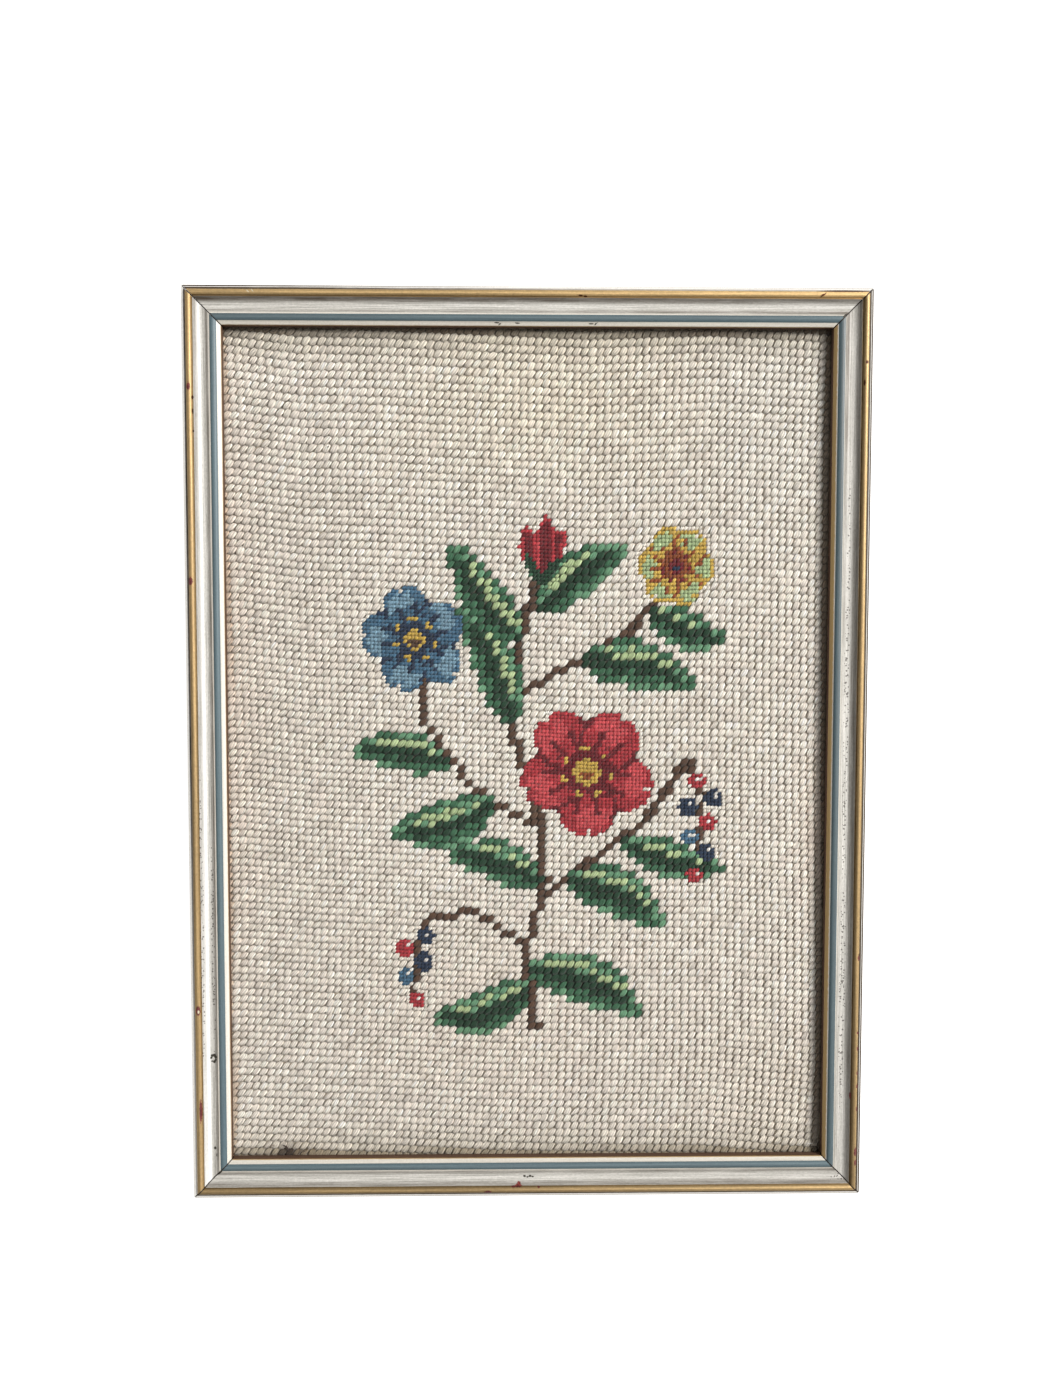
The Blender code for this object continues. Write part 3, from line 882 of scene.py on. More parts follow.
def lay_stitches(cells, yarns, size, settings, random):
    """Work out place, direction, size and colour of stitches over squares of the canvas."""
    stitches = settings.stitches
    fine = size < 1
    column, row = cells[:, 0], cells[:, 1]
    half = size / 2
    row_step = canvas_place(column + half, row) - canvas_place(column - half, row)
    column_step = canvas_place(column, row - half) - canvas_place(column, row + half)
    rightwards, upwards = unit(row_step), unit(column_step)
    wider = np.linalg.norm(row_step, axis=-1) / (PITCH * size)
    taller = np.linalg.norm(column_step, axis=-1) / (PITCH * size)
    centre = canvas_place(column, row)
    count = len(cells)
    share_right = centre[:, 0] / SIGHT_WIDTH + 0.5
    slimmer = 1 - SLIMMING * (share_right - 0.3)
    lean = stitches.lean + LEAN_GAIN * (share_right - 0.4) + random.normal(0, LEAN_SPREAD, count)
    end_lean = stitches.end_lean + random.normal(0, END_LEAN_SPREAD, count)
    spread = stitches.unevenness
    centre = centre + random.normal(0, PLACE_SPREAD * PITCH * size, (count, 2))
    palette = np.array([getattr(settings.yarns, name) for name in YARNS])
    cover = stitches.fine_cover if fine else 1.0
    tone = 1 + random.normal(0, stitches.tone_spread * (FINE_TONE_SPREAD if fine else 1.0), (count, 1))
    hue = 1 + random.normal(0, stitches.tone_spread / 12, (count, 3))
    rise = CANVAS_BELOW_FACE * (FINE_RISE if fine else 1.0)
    return {
        "centre": centre,
        "axis": leaning(rightwards, upwards, lean),
        "side": leaning(rightwards, upwards, end_lean),
        "length": stitches.length * cover * size * taller * (1 + random.normal(0, spread * 0.6, count)),
        "width": stitches.width * cover * size * wider * slimmer * (1 + random.normal(0, spread, count)),
        "rise": rise * (1 + random.normal(0, spread, count)),
        "cleft": np.clip(random.normal(stitches.cleft, stitches.cleft / 3, count), 0, 0.9),
        "twist": random.normal(0.0, TWIST_SPREAD, count),
        "shift": random.normal(0.0, SHIFT_SPREAD, count),
        "colour": np.clip(palette[yarns] * tone * hue, 0, 1) * tints_and_edge_shadows(centre),
        "start": random.uniform(0, 50, count),
    }


def new_piece(name, mesh, *materials):
    """Add a mesh to the scene with its materials."""
    piece = bpy.data.objects.new(name, mesh)
    bpy.context.scene.collection.objects.link(piece)
    for material in materials:
        mesh.materials.append(material)
    return piece


def stitches_piece(name, cells, yarns, size, settings, seed):
    """Make one mesh of many stitches, with its yarn colours and painted shade, and its two maps."""
    random = np.random.default_rng(seed)
    lay = lay_stitches(cells, yarns, size, settings, random)
    shape = FINE_SHAPE if size < 1 else BIG_SHAPE
    points, along = stitch_points(shape, lay)
    faces, places = stitch_faces(shape)
    count, each = points.shape[:2]
    corners = (np.arange(count) * each)[:, None] + np.concatenate(faces)
    sizes = [len(face) for face in faces]
    mesh = mesh_from_arrays(name, points.reshape(-1, 3), corners.ravel(), np.tile(sizes, count))
    dips = np.concatenate((np.tile([spot.dip for spot in shape.spots], shape.rings), (0.5, 0.5)))
    low = np.concatenate((np.tile([spot.up < 0 for spot in shape.spots], shape.rings), (True, True)))
    # Painted shade and highlight in the colour: darker at the sunk ends, in the clefts, along the low edges
    # and towards the lower end, and lighter on the ridges
    stitch_shade = (1 - HOLE_SHADE * np.abs(along) ** 5) * (1 + RIDGE_LIGHT - (CLEFT_SHADE + RIDGE_LIGHT) * dips)
    stitch_shade *= (1 - EDGE_SHADE * low) * (1 - LOW_END_SHADE * ((1 - along) / 2) ** 2)
    strands = np.ones((count, each))
    strands[:, :-2] += np.tile(random.normal(0, STRAND_SPREAD, (count, len(shape.spots))), (1, shape.rings))
    colours = np.ones((count, each, 4))
    colours[..., :3] = np.minimum(lay["colour"][:, None, :] * (stitch_shade * strands)[..., None], 0.98)
    add_colours(mesh, colours)
    spots = np.concatenate(places).astype(float)
    along_share = spots[:, 0] / (shape.rings + 1)
    round_share = spots[:, 1] / len(shape.spots)
    add_map(mesh, "OFBake", cell_map(count, round_share, along_share))
    millimetres = np.empty((count, len(spots), 2))
    millimetres[..., 0] = (lay["length"][:, None] * along_share) / MM + lay["start"][:, None]
    millimetres[..., 1] = (lay["width"][:, None] * round_share) / MM * GIRTH
    add_map(mesh, "yarn_length", millimetres)
    piece = new_piece(name, mesh, wool_material())
    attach(piece, BODY)


def cell_map(count, across, up):
    """Give each of many like shapes its own cell of a square map."""
    columns = math.ceil(math.sqrt(count))
    rows = math.ceil(count / columns)
    margin = 0.05
    number = np.arange(count)
    spots = np.empty((count, len(across), 2))
    spots[..., 0] = ((number % columns)[:, None] + margin + (1 - 2 * margin) * across) / columns
    spots[..., 1] = ((number // columns)[:, None] + margin + (1 - 2 * margin) * up) / rows
    return spots


def mesh_from_arrays(name, points, corners, sizes):
    """Make a smooth mesh from vertices, face corners and the number of corners of each face."""
    mesh = bpy.data.meshes.new(name)
    mesh.vertices.add(len(points))
    mesh.vertices.foreach_set("co", points.astype(np.float32).ravel())
    mesh.loops.add(len(corners))
    mesh.loops.foreach_set("vertex_index", corners.astype(np.int32))
    mesh.polygons.add(len(sizes))
    starts = np.concatenate(([0], np.cumsum(sizes)[:-1]))
    mesh.polygons.foreach_set("loop_start", starts.astype(np.int32))
    mesh.update(calc_edges=True)
    mesh.validate()
    mesh.shade_smooth()
    return mesh


def add_map(mesh, name, spots):
    """Add a map of one spot for each face corner."""
    layer = mesh.uv_layers.new(name=name, do_init=False)
    layer.uv.foreach_set("vector", spots.astype(np.float32).ravel())


def add_value(mesh, name, values):
    """Add a number for each vertex."""
    layer = mesh.attributes.new(name, "FLOAT", "POINT")
    layer.data.foreach_set("value", values.astype(np.float32).ravel())


def add_colours(mesh, colours):
    """Add the colour of the yarn with its painted shade and tints, or of the dust, for each vertex."""
    layer = mesh.color_attributes.new("yarn", "FLOAT_COLOR", "POINT")
    layer.data.foreach_set("color", colours.astype(np.float32).ravel())


def feed(tree, node, inputs):
    """Give a node its inputs: a socket is linked, and any other value is set."""
    for name, value in inputs.items():
        if isinstance(value, bpy.types.NodeSocket):
            tree.links.new(value, node.inputs[name])
        else:
            node.inputs[name].default_value = value
    return node


def add_node(tree, kind, inputs=None, **settings):
    """Add a shader node with its settings and inputs."""
    node = tree.nodes.new("ShaderNode" + kind)
    for name, value in settings.items():
        setattr(node, name, value)
    return feed(tree, node, inputs or {})


def sums(tree, operation, first, second=0.0, clamp=False):
    """Result of a Math node."""
    return add_node(tree, "Math", {0: first, 1: second}, operation=operation, use_clamp=clamp).outputs[0]


def plus(tree, first, second):
    """One value and another together."""
    return sums(tree, "ADD", first, second)


def times(tree, first, second):
    """One value times another."""
    return sums(tree, "MULTIPLY", first, second)


def lifted(tree, value, share, base):
    """A share of a value, on top of a base."""
    return plus(tree, times(tree, value, share), base)


def scaled(tree, colour, share):
    """A colour made darker or lighter by a value."""
    return add_node(tree, "VectorMath", {0: colour, "Scale": share}, operation="SCALE").outputs[0]


def blended(tree, share, first, second):
    """A share of the second colour over the first."""
    inputs = {0: share, 6: first, 7: second}
    return add_node(tree, "Mix", inputs, data_type="RGBA", clamp_factor=True).outputs[2]


def noise(tree, vector, scale, detail=2.0, roughness=0.5):
    """Value of a noise texture."""
    inputs = {"Vector": vector, "Scale": scale, "Detail": detail, "Roughness": roughness}
    return add_node(tree, "TexNoise", inputs).outputs["Fac"]


def stretched(tree, vector, along, across):
    """Scale a map so that what is drawn on it stretches along or across."""
    return add_node(tree, "VectorMath", {0: vector, 1: (along, across, 1.0)}, operation="MULTIPLY").outputs[0]


def eased(tree, value, low, high):
    """Ease a value from 0 at low to 1 at high."""
    inputs = {"Value": value, "From Min": low, "From Max": high}
    return add_node(tree, "MapRange", inputs, interpolation_type="SMOOTHSTEP").outputs[0]


def attribute(tree, name, output="Fac"):
    """Read what the mesh holds for each vertex, a number or a colour."""
    return add_node(tree, "Attribute", attribute_name=name).outputs[output]


def held_values(tree, *labels):
    """Numbers that the mesh holds, under the names of the sockets that they feed."""
    return {label: attribute(tree, label.lower()) for label in labels}


def map_place(tree, name):
    """Place on one of the mesh's maps."""
    return add_node(tree, "UVMap", uv_map=name).outputs["UV"]


def object_place(tree):
    """Place in metres."""
    return add_node(tree, "TexCoord").outputs["Object"]


def bumped(tree, height, distance):
    """Normal of a surface that a height raises."""
    return add_node(tree, "Bump", {"Height": height, "Distance": distance}).outputs["Normal"]


def node_group(name, inputs, outputs, lay_out):
    """Build a node group once, with named sockets, and return it."""
    group = bpy.data.node_groups.get(name)
    if group:
        return group
    group = bpy.data.node_groups.new(name, "ShaderNodeTree")
    for in_out, sockets in (("INPUT", inputs), ("OUTPUT", outputs)):
        for label, kind in sockets.items():
            group.interface.new_socket(name=label, in_out=in_out, socket_type="NodeSocket" + kind)
    source = group.nodes.new("NodeGroupInput")
    feed(group, group.nodes.new("NodeGroupOutput"), lay_out(group, source.outputs))
    return group


def use_group(tree, group, inputs):
    """Place a node group in a material with its own values."""
    return add_node(tree, "Group", inputs, node_tree=group).outputs


def new_material(name):
    """Start a material and return it with its node tree and its shader."""
    material = bpy.data.materials.new(name)
    material.use_nodes = True
    tree = material.node_tree
    return material, tree, tree.nodes["Principled BSDF"]


def finish(tree, shader, colour, roughness, height, depth):
    """Give a matt shader its colour, roughness and relief."""
    feed(tree, shader, {"Base Color": colour, "Roughness": roughness, "Normal": bumped(tree, height, depth)})


def ply_group():
    """Strands and fibres of spun yarn, on a map in millimetres along and round it."""

    def lay_out(tree, source):
        split = add_node(tree, "SeparateXYZ", {0: source["Map"]}).outputs
        turned = lifted(tree, split["X"], TWIST, split["Y"])
        ridge = sums(tree, "ABSOLUTE", sums(tree, "SINE", times(tree, turned, source["Strands"])))
        fibres = noise(tree, stretched(tree, source["Map"], 1.0, 5.0), 1.6, 3.0, 0.6)
        fuzz = noise(tree, source["Map"], 5.0, 3.0, 0.7)
        # Painted shade: the tone is darker between the strands and lighter on their ridges, with random
        # fibres
        shade = times(tree, eased(tree, ridge, 0.0, 0.6), 0.24)
        tone = plus(tree, lifted(tree, fibres, 0.40, shade), 0.65)
        height = lifted(tree, fuzz, 0.25, lifted(tree, ridge, 0.65, times(tree, fibres, 0.5)))
        return {"Tone": tone, "Height": height}

    inputs = {"Map": "Vector", "Strands": "Float"}
    return node_group("Spun Yarn", inputs, {"Tone": "Float", "Height": "Float"}, lay_out)


def streak_group():
    """Brush streaks and small pits of old paint, on a map in millimetres along and across it."""

    def lay_out(tree, source):
        long_streaks = noise(tree, stretched(tree, source["Map"], 0.012, 1.0), source["Fineness"], 4.0, 0.65)
        short_streaks = noise(tree, stretched(tree, source["Map"], 0.22, 1.6), source["Fineness"], 3.0, 0.6)
        both = lifted(tree, long_streaks, 0.7, times(tree, short_streaks, 0.3))
        pits = noise(tree, source["Map"], 2.6, 3.0, 0.75)
        streaks = eased(tree, both, 0.36, 0.64)
        return {"Streaks": streaks, "Pits": pits, "Height": lifted(tree, pits, 0.5, both)}

    inputs = {"Map": "Vector", "Fineness": "Float"}
    outputs = dict.fromkeys(("Streaks", "Pits", "Height"), "Float")
    return node_group("Brushed Paint", inputs, outputs, lay_out)


def knock_group():
    """Rubs, scratches, dents and dark specks, with ragged edges."""

    def lay_out(tree, source):
        ragged = noise(tree, source["Map"], 2.2, 3.0, 0.7)
        blotches = eased(tree, noise(tree, source["Map"], 1.3, 3.0, 0.7), 0.35, 0.65)
        bole = blended(tree, blotches, blended(tree, 0.75, source["Bole"], DARK_BOLE), source["Bole"])
        rubbed = eased(tree, lifted(tree, ragged, 1.1, source["Rub"]), 0.92, 1.16)
        scratched = eased(tree, lifted(tree, ragged, 0.5, source["Scratch"]), 0.62, 0.95)
        dented = eased(tree, lifted(tree, ragged, 0.5, source["Dent"]), 0.62, 0.9)
        cells = add_node(tree, "TexVoronoi", {"Vector": source["Map"], "Scale": 1.1})
        size = times(tree, eased(tree, source["Speckle"], 0.0, 0.5), 0.33)
        specked = sums(tree, "LESS_THAN", cells.outputs["Distance"], size)
        colour = source["Colour"]
        layers = (
            (rubbed, bole), (scratched, SCRATCHED), (dented, source["Deep"]),
            (times(tree, specked, 0.8), SPECK),
        )
        for share, beneath in layers:
            colour = blended(tree, share, colour, beneath)
        return {"Colour": colour, "Wear": sums(tree, "MAXIMUM", rubbed, specked)}

    inputs = dict.fromkeys(("Colour", "Bole", "Deep"), "Color") | {"Map": "Vector"}
    inputs |= dict.fromkeys(("Rub", "Dent", "Speckle", "Scratch"), "Float")
    return node_group("Knocks", inputs, {"Colour": "Color", "Wear": "Float"}, lay_out)


def groove_group():
    """Old wax and dirt with painted shade in the grooves and on the arrises of the moulding, and the wide
    painted shade of the tonings.
    """

    def lay_out(tree, source):
        ragged = noise(tree, stretched(tree, source["Map"], 0.35, 1.0), 2.0, 3.0, 0.6)
        place = lifted(tree, sums(tree, "SUBTRACT", ragged, 0.5), 0.12, source["Outwards"])
        lines = None
        for groove in GROOVES:
            from_groove = sums(tree, "ABSOLUTE", sums(tree, "SUBTRACT", place, groove.outwards))
            line = eased(tree, from_groove, groove.reach, LINE_CORE * groove.reach)
            lines = sums(tree, "MAXIMUM", lines, line) if lines else line
        patchy = noise(tree, stretched(tree, source["Map"], 0.06, 0.5), 1.3, 3.0, 0.6)
        # Painted shade: the groove lines and the tonings darken the paint towards the dirt colour, for shade
        # in the grooves and on faces that get less light, as well as dirt
        dirtied_and_shaded = times(tree, lines, times(tree, source["Groove_Shade_Dirt"], plus(tree, patchy, 0.75)))
        toned = times(tree, source["Shade_Toning"], plus(tree, patchy, 0.45))
        amount = sums(tree, "MAXIMUM", dirtied_and_shaded, toned, clamp=True)
        return {"Colour": blended(tree, amount, source["Colour"], source["RailTone"])}

    inputs = {"Colour": "Color", "RailTone": "Color", "Map": "Vector"}
    inputs |= dict.fromkeys(("Outwards", "Groove_Shade_Dirt", "Shade_Toning"), "Float")
    return node_group("Groove Dirt", inputs, {"Colour": "Color"}, lay_out)


def wool_material():
    """Spun wool, in the colour that each stitch holds with its painted shade."""
    material = bpy.data.materials.get("wool")
    if material:
        return material
    material, tree, shader = new_material("wool")
    ply = use_group(tree, ply_group(), {"Map": map_place(tree, "yarn_length"), "Strands": STRANDS})
    colour = scaled(tree, attribute(tree, "yarn", "Color"), ply["Tone"])
    finish(tree, shader, colour, 0.9, ply["Height"], YARN_BUMP)
    feed(tree, shader, {"Specular IOR Level": 0.25, "Sheen Weight": 0.15, "Sheen Roughness": 0.5})
    return material


def colour_of(value):
    """A setting's colour with its fourth number."""
    return (*value, 1.0)


def shaded(colour, share):
    """A darker or lighter version of a colour."""
    return tuple(min(1.0, value * share) for value in colour)


def two_tone(tree, share, colour, dark, light):
    """A colour that goes from a darker to a lighter version of itself."""
    return blended(tree, share, colour_of(shaded(colour, dark)), colour_of(shaded(colour, light)))


Paint = namedtuple("Paint", "material tree shader place streaks worn")


def painted_material(name, light, dark, colours, fineness, roughness=0.5, deep=DEEP_IN_PAINT, metallic=0.0):
    """Streaked old paint or gilding with its dirt and painted shade, its painted highlight, and its knocks.
    """
    material, tree, shader = new_material(name)
    place = map_place(tree, "section")
    streaks = use_group(tree, streak_group(), {"Map": place, "Fineness": fineness})
    streaked = blended(tree, streaks["Streaks"], colour_of(dark), colour_of(light))
    # Painted highlight: the silver is lightened towards near white where the highlight amounts say
    highlighted = blended(tree, attribute(tree, "painted_highlight"), streaked, HIGHLIGHT_WHITE)
    grain = lifted(tree, noise(tree, place, GRAIN_SCALE, 3.0, 0.8), GRAIN, 1 - GRAIN / 2)
    dirtied_and_shaded = use_group(tree, groove_group(), {
        "Colour": scaled(tree, highlighted, grain), "RailTone": DIRT_AND_SHADE_COLOUR, "Map": place,
        **held_values(tree, "Outwards", "Groove_Shade_Dirt", "Shade_Toning"),
    })
    worn = use_group(tree, knock_group(), {
        "Colour": dirtied_and_shaded["Colour"], "Bole": colour_of(colours.bole), "Deep": deep, "Map": place,
        **held_values(tree, "Rub", "Dent", "Speckle", "Scratch"),
    })
    finish(tree, shader, worn["Colour"], roughness, streaks["Height"], PAINT_BUMP)
    feed(tree, shader, {"Metallic": metallic})
    return Paint(material, tree, shader, place, streaks, worn)


def gilt_material(colours):
    """Gilding that is rubbed down to its red-brown ground in places, with painted light along each rail."""
    gilding = painted_material(
        "gilt", shaded(colours.gilt, 1.15), shaded(colours.gilt, 0.78), colours, 1.5, deep=DEEP_IN_GILT
    )
    tree = gilding.tree
    # Painted light: the gilt is made brighter or darker along each rail, with a random mottle
    mottle = lifted(tree, noise(tree, gilding.place, 0.9, 4.0, 0.7), 0.6, 0.7)
    bright = times(tree, mottle, attribute(tree, "gilt_light"))
    feed(tree, gilding.shader, {
        "Base Color": scaled(tree, gilding.worn["Colour"], bright),
        "Metallic": sums(tree, "SUBTRACT", 0.45, times(tree, gilding.worn["Wear"], 0.42), clamp=True),
        "Roughness": lifted(tree, gilding.streaks["Pits"], 0.3, 0.34),
    })
    return gilding.material


def lip_material(colours):
    """Off-white lip, rubbed down to gilt beside the sight edge."""
    lip = painted_material("lip_paint", colours.lip, shaded(colours.lip, 0.86), colours, 2.2, 0.42)
    tree = lip.tree
    from_edge = lifted(tree, noise(tree, lip.place, 0.7, 3.0), 0.5, attribute(tree, "from_sight"))
    gilt = sums(tree, "SUBTRACT", 1.0, eased(tree, from_edge, 1.15, 1.35))
    feed(tree, lip.shader, {
        "Base Color": blended(tree, gilt, lip.worn["Colour"], colour_of(shaded(colours.gilt, 0.85))),
        "Metallic": times(tree, gilt, 0.5),
    })
    return lip.material


def wood_material(name, colour):
    """Plain softwood with its grain along the rail."""
    material, tree, shader = new_material(name)
    place = map_place(tree, "section")
    grain = use_group(tree, streak_group(), {"Map": place, "Fineness": 1.1})
    figure = noise(tree, stretched(tree, place, 0.02, 0.5), 1.0)
    rings = sums(tree, "FRACT", times(tree, figure, 9.0))
    share = times(tree, plus(tree, grain["Streaks"], rings), 0.5)
    finish(tree, shader, two_tone(tree, share, colour, 0.7, 1.1), 0.75, grain["Height"], 0.06 * MM)
    return material


def moulding_materials(colours):
    """The finishes of the moulding, in the order of FINISHES."""
    blue = shaded(colours.blue, 1.12), shaded(colours.blue, 0.82)
    white = colours.white, shaded(colours.white, 0.9)
    silver = colours.silver, colours.silver_shade
    finishes = {
        "silver_paint": painted_material("silver_paint", *silver, colours, 3.0, 0.48, metallic=0.05).material,
        "blue_paint": painted_material("blue_paint", *blue, colours, 2.0, 0.45).material,
        "white_paint": painted_material("white_paint", *white, colours, 2.0, deep=DEEP_IN_WHITE).material,
        "gilt": gilt_material(colours),
        "lip_paint": lip_material(colours),
        "side_stain": wood_material("side_stain", colours.stain),
        "bare_wood": wood_material("bare_wood", colours.wood),
        "mitre_cut": wood_material("mitre_cut", shaded(colours.stain, 0.35)),
    }
    return [finishes[name] for name in FINISHES]


def glue_material():
    """Brown-black glue and dirt."""
    material, tree, shader = new_material("old_glue")
    lumps = noise(tree, object_place(tree), 1500.0, 3.0, 0.6)
    finish(tree, shader, blended(tree, lumps, *GLUE_COLOURS), 0.6, lumps, 0.1 * MM)
    return material


def canvas_material(colour):
    """Double-thread canvas, painted under the spray."""
    material, tree, shader = new_material("canvas_thread")
    place = object_place(tree)
    split = add_node(tree, "SeparateXYZ", {0: place}).outputs
    threads = [
        sums(tree, "ABSOLUTE", sums(tree, "SINE", times(tree, split[way], 2 * math.pi / PITCH)))
        for way in ("X", "Y")
    ]
    weave = sums(tree, "MAXIMUM", *threads)
    toned = two_tone(tree, times(tree, weave, noise(tree, place, 1800.0, 3.0)), colour, 0.55, 1.15)
    painted = blended(tree, times(tree, attribute(tree, "painted"), 0.85), toned, CANVAS_PAINT)
    finish(tree, shader, painted, 0.95, weave, 0.25 * MM)
    return material


def fluff_material():
    """Matt dust, mottled, in the colour that each bit holds."""
    material, tree, shader = new_material("fluff")
    mottle = plus(tree, noise(tree, object_place(tree), 2500.0), 0.5)
    colour = scaled(tree, attribute(tree, "yarn", "Color"), mottle)
    feed(tree, shader, {"Base Color": colour, "Roughness": 0.95})
    return material


def board_material(colour):
    """Pressed brown board: fibres and stains."""
    material, tree, shader = new_material("pressed_board")
    place = object_place(tree)
    fibres = noise(tree, place, 900.0, 4.0, 0.7)
    stains = noise(tree, place, 14.0, 3.0, 0.6)
    share = eased(tree, lifted(tree, fibres, 0.6, times(tree, stains, 0.6)), 0.35, 0.85)
    finish(tree, shader, two_tone(tree, share, colour, 0.68, 1.15), 0.88, fibres, 0.08 * MM)
    return material


def floor_material(stage):
    """Pale floor that shines a little through its own shadows."""
    material, tree, shader = new_material("floor")
    feed(tree, shader, {
        "Base Color": colour_of(shaded(stage.floor, 0.5)), "Roughness": 0.8,
        "Emission Color": colour_of(stage.floor), "Emission Strength": stage.floor_glow,
    })
    return material


def swelled_run(start, band):
    """Points from just after start to the band's far end, on an arc when the band swells."""
    end = start + Vector((band.width, band.rise))
    if band.swell == 0:
        return [start.lerp(end, step / band.steps) for step in range(1, band.steps + 1)]
    chord = end - start
    half = chord.length / 2
    depth = abs(band.swell)
    radius = (half * half + depth * depth) / (2 * depth)
    side = Vector((-chord.y, chord.x)).normalized() * math.copysign(1, band.swell)
    centre = (start + end) / 2 + side * (depth - radius)
    half_angle = math.asin(half / radius)
    run = []
    for step in range(1, band.steps + 1):
        angle = half_angle * (2 * step / band.steps - 1)
        run.append(centre + side * radius * math.cos(angle) + chord.normalized() * radius * math.sin(angle))
    return run


def section_outline():
    """The moulding's section as (outwards, up) points, and the finish of the face after each point."""
    start = Vector((0, REBATE_DEPTH + LIP_THICKNESS))
    points, finishes = [start], []
    for band in BANDS:
        run = swelled_run(points[-1], band)
        points += run
        finishes += [band.finish] * len(run)
    depth = points[-1].y
    down_side = [Vector((RAIL_WIDTH, BACK_ARRIS + (depth - BACK_ARRIS) * share)) for share in (0.66, 0.33, 0)]
    points += down_side
    finishes += ["side_stain"] * len(down_side)
    points += [
        Vector((RAIL_WIDTH - BACK_ARRIS, 0)),
        Vector((REBATE_WIDTH, 0)),
        Vector((REBATE_WIDTH, REBATE_DEPTH)),
        Vector((0, REBATE_DEPTH)),
    ]
    finishes += ["bare_wood"] * 4 + ["side_stain"]
    return soften_corners(points, finishes)


def soften_corners(points, finishes):
    """Cut each corner of the section by a hair, so that its edges catch the light."""
    soft_points, soft_finishes = [], []
    for number, point in enumerate(points):
        before = points[number - 1] - point
        after = points[(number + 1) % len(points)] - point
        bend = math.pi - before.angle(after)
        if bend < CREASE_ANGLE:
            soft_points.append(point)
            soft_finishes.append(finishes[number])
            continue
        cut = min(SOFT_ARRIS, 0.4 * before.length, 0.4 * after.length)
        soft_points += [point + before.normalized() * cut, point + after.normalized() * cut]
        soft_finishes += [finishes[number], finishes[number]]
    return np.array([tuple(point) for point in soft_points]), soft_finishes


def section_normals(flat):
    """The way out of the wood at each point of the section."""
    run = np.roll(flat, -1, axis=0) - np.roll(flat, 1, axis=0)
    return unit(np.stack((-run[:, 1], run[:, 0]), axis=-1))


def rail_stations(side, sight_length):
    """Shares of the rail's length, from -1 to 1, at even steps and close together at its knocks."""
    count = round((sight_length + 2 * RAIL_WIDTH) / STATION_STEP)
    shares = list(np.linspace(-1, 1, count + 1))
    for knock in KNOCKS[side.name]:
        if knock.kind != "speckle":
            reach = knock.reach_along + abs(knock.slant) * knock.reach_across
            close = np.linspace(-1.1, 1.1, 9) * reach
            shares += list((knock.along + close) / (sight_length / 2 + knock.outwards))
    return np.unique(np.round(np.clip(shares, -1, 1), 5))


def along_rail(shares, amounts):
    """Blend the amounts at the start, middle and end of a rail."""
    return np.interp(shares, (-1, 0, 1), amounts)


def groove_shade_and_dirt_amounts(outwards, shares, side):
    """How much dirt and painted shade the groove nearest to each point of a rail has."""
    nearest = np.abs(outwards - np.array([[groove.outwards] for groove in GROOVES])).argmin(axis=0)
    return np.array([along_rail(shares, getattr(groove, side)) for groove in GROOVES])[nearest].T


def wide_amounts(table, outwards, shares, side):
    """How much of a wide change of tone each point of a rail has."""
    amounts = []
    for dirt in table:
        near = smooth_fall(np.abs(outwards - dirt.outwards) / dirt.reach)
        amounts.append(along_rail(shares, getattr(dirt, side))[:, None] * near)
    return np.max(amounts, axis=0)


def knock_marks(side, flat, along):
    """How much of each kind of knock there is at each point of a rail, and how deep it sinks."""
    marks = {kind: np.zeros(along.shape) for kind in ("rub", "dent", "speckle", "scratch")}
    sink = np.zeros(along.shape)
    front = flat[:, 1] > REBATE_DEPTH + LIP_THICKNESS / 2
    for knock in KNOCKS[side.name]:
        away = flat[:, 0] - knock.outwards
        near_along = (along - knock.slant * away - knock.along) / knock.reach_along
        fall = smooth_fall(np.hypot(near_along, away / knock.reach_across)) * front
        marks[knock.kind] = np.maximum(marks[knock.kind], fall)
        sink = np.maximum(sink, knock.depth * fall)
    return marks, sink


def rail_sides(shares, flat, along, turning):
    """Corners of the long faces of a rail, and their places on its bake map and its section map.

    The bake map holds the rail in rows, one above another."""
    ahead, later = np.array(((0, 1, 1, 0), (0, 0, 1, 1)))
    if turning:
        ahead, later = ahead[::-1], later[::-1]
    count, each = along.shape
    station, step = np.arange(count - 1)[:, None, None], np.arange(each)[None, :, None]
    at, point = station + ahead, (step + later) % each
    lengths = np.linalg.norm(np.roll(flat, -1, axis=0) - flat, axis=1)
    arc = np.concatenate(([0], np.cumsum(lengths)))
    per_row = math.ceil((count - 1) / BAKE_ROWS)
    row = station // per_row
    first = row * per_row
    last = np.minimum(first + per_row, count - 1)
    share = (shares[at] - shares[first]) / (shares[last] - shares[first])
    over = SIDE_INSET + (1 - 2 * SIDE_INSET) * share
    up = (row + ROW_INSET + ROW_FILL * (arc / arc[-1])[step + later]) / BAKE_ROWS * ROWS_HEIGHT
    spots = np.stack(np.broadcast_arrays(over, up), axis=-1)
    grain = np.stack(np.broadcast_arrays(along[at, point], arc[step + later]), axis=-1) / MM
    return (at * each + point).ravel(), spots.reshape(-1, 2), grain.reshape(-1, 2)


def rail_ends(flat, count, turning):
    """Corners of the two mitre cuts of a rail, and their places on its two maps."""
    each = len(flat)
    corners, spots, grain = [], [], []
    for station, place in zip((0, count - 1), CUT_PLACES):
        order = np.arange(each)
        if (station == 0) == turning:
            order = order[::-1]
        corners.append(station * each + order)
        spots.append(place + flat[order] / RAIL_WIDTH * CUT_SIZE)
        grain.append(flat[order] / MM)
    return np.concatenate(corners), np.concatenate(spots), np.concatenate(grain)


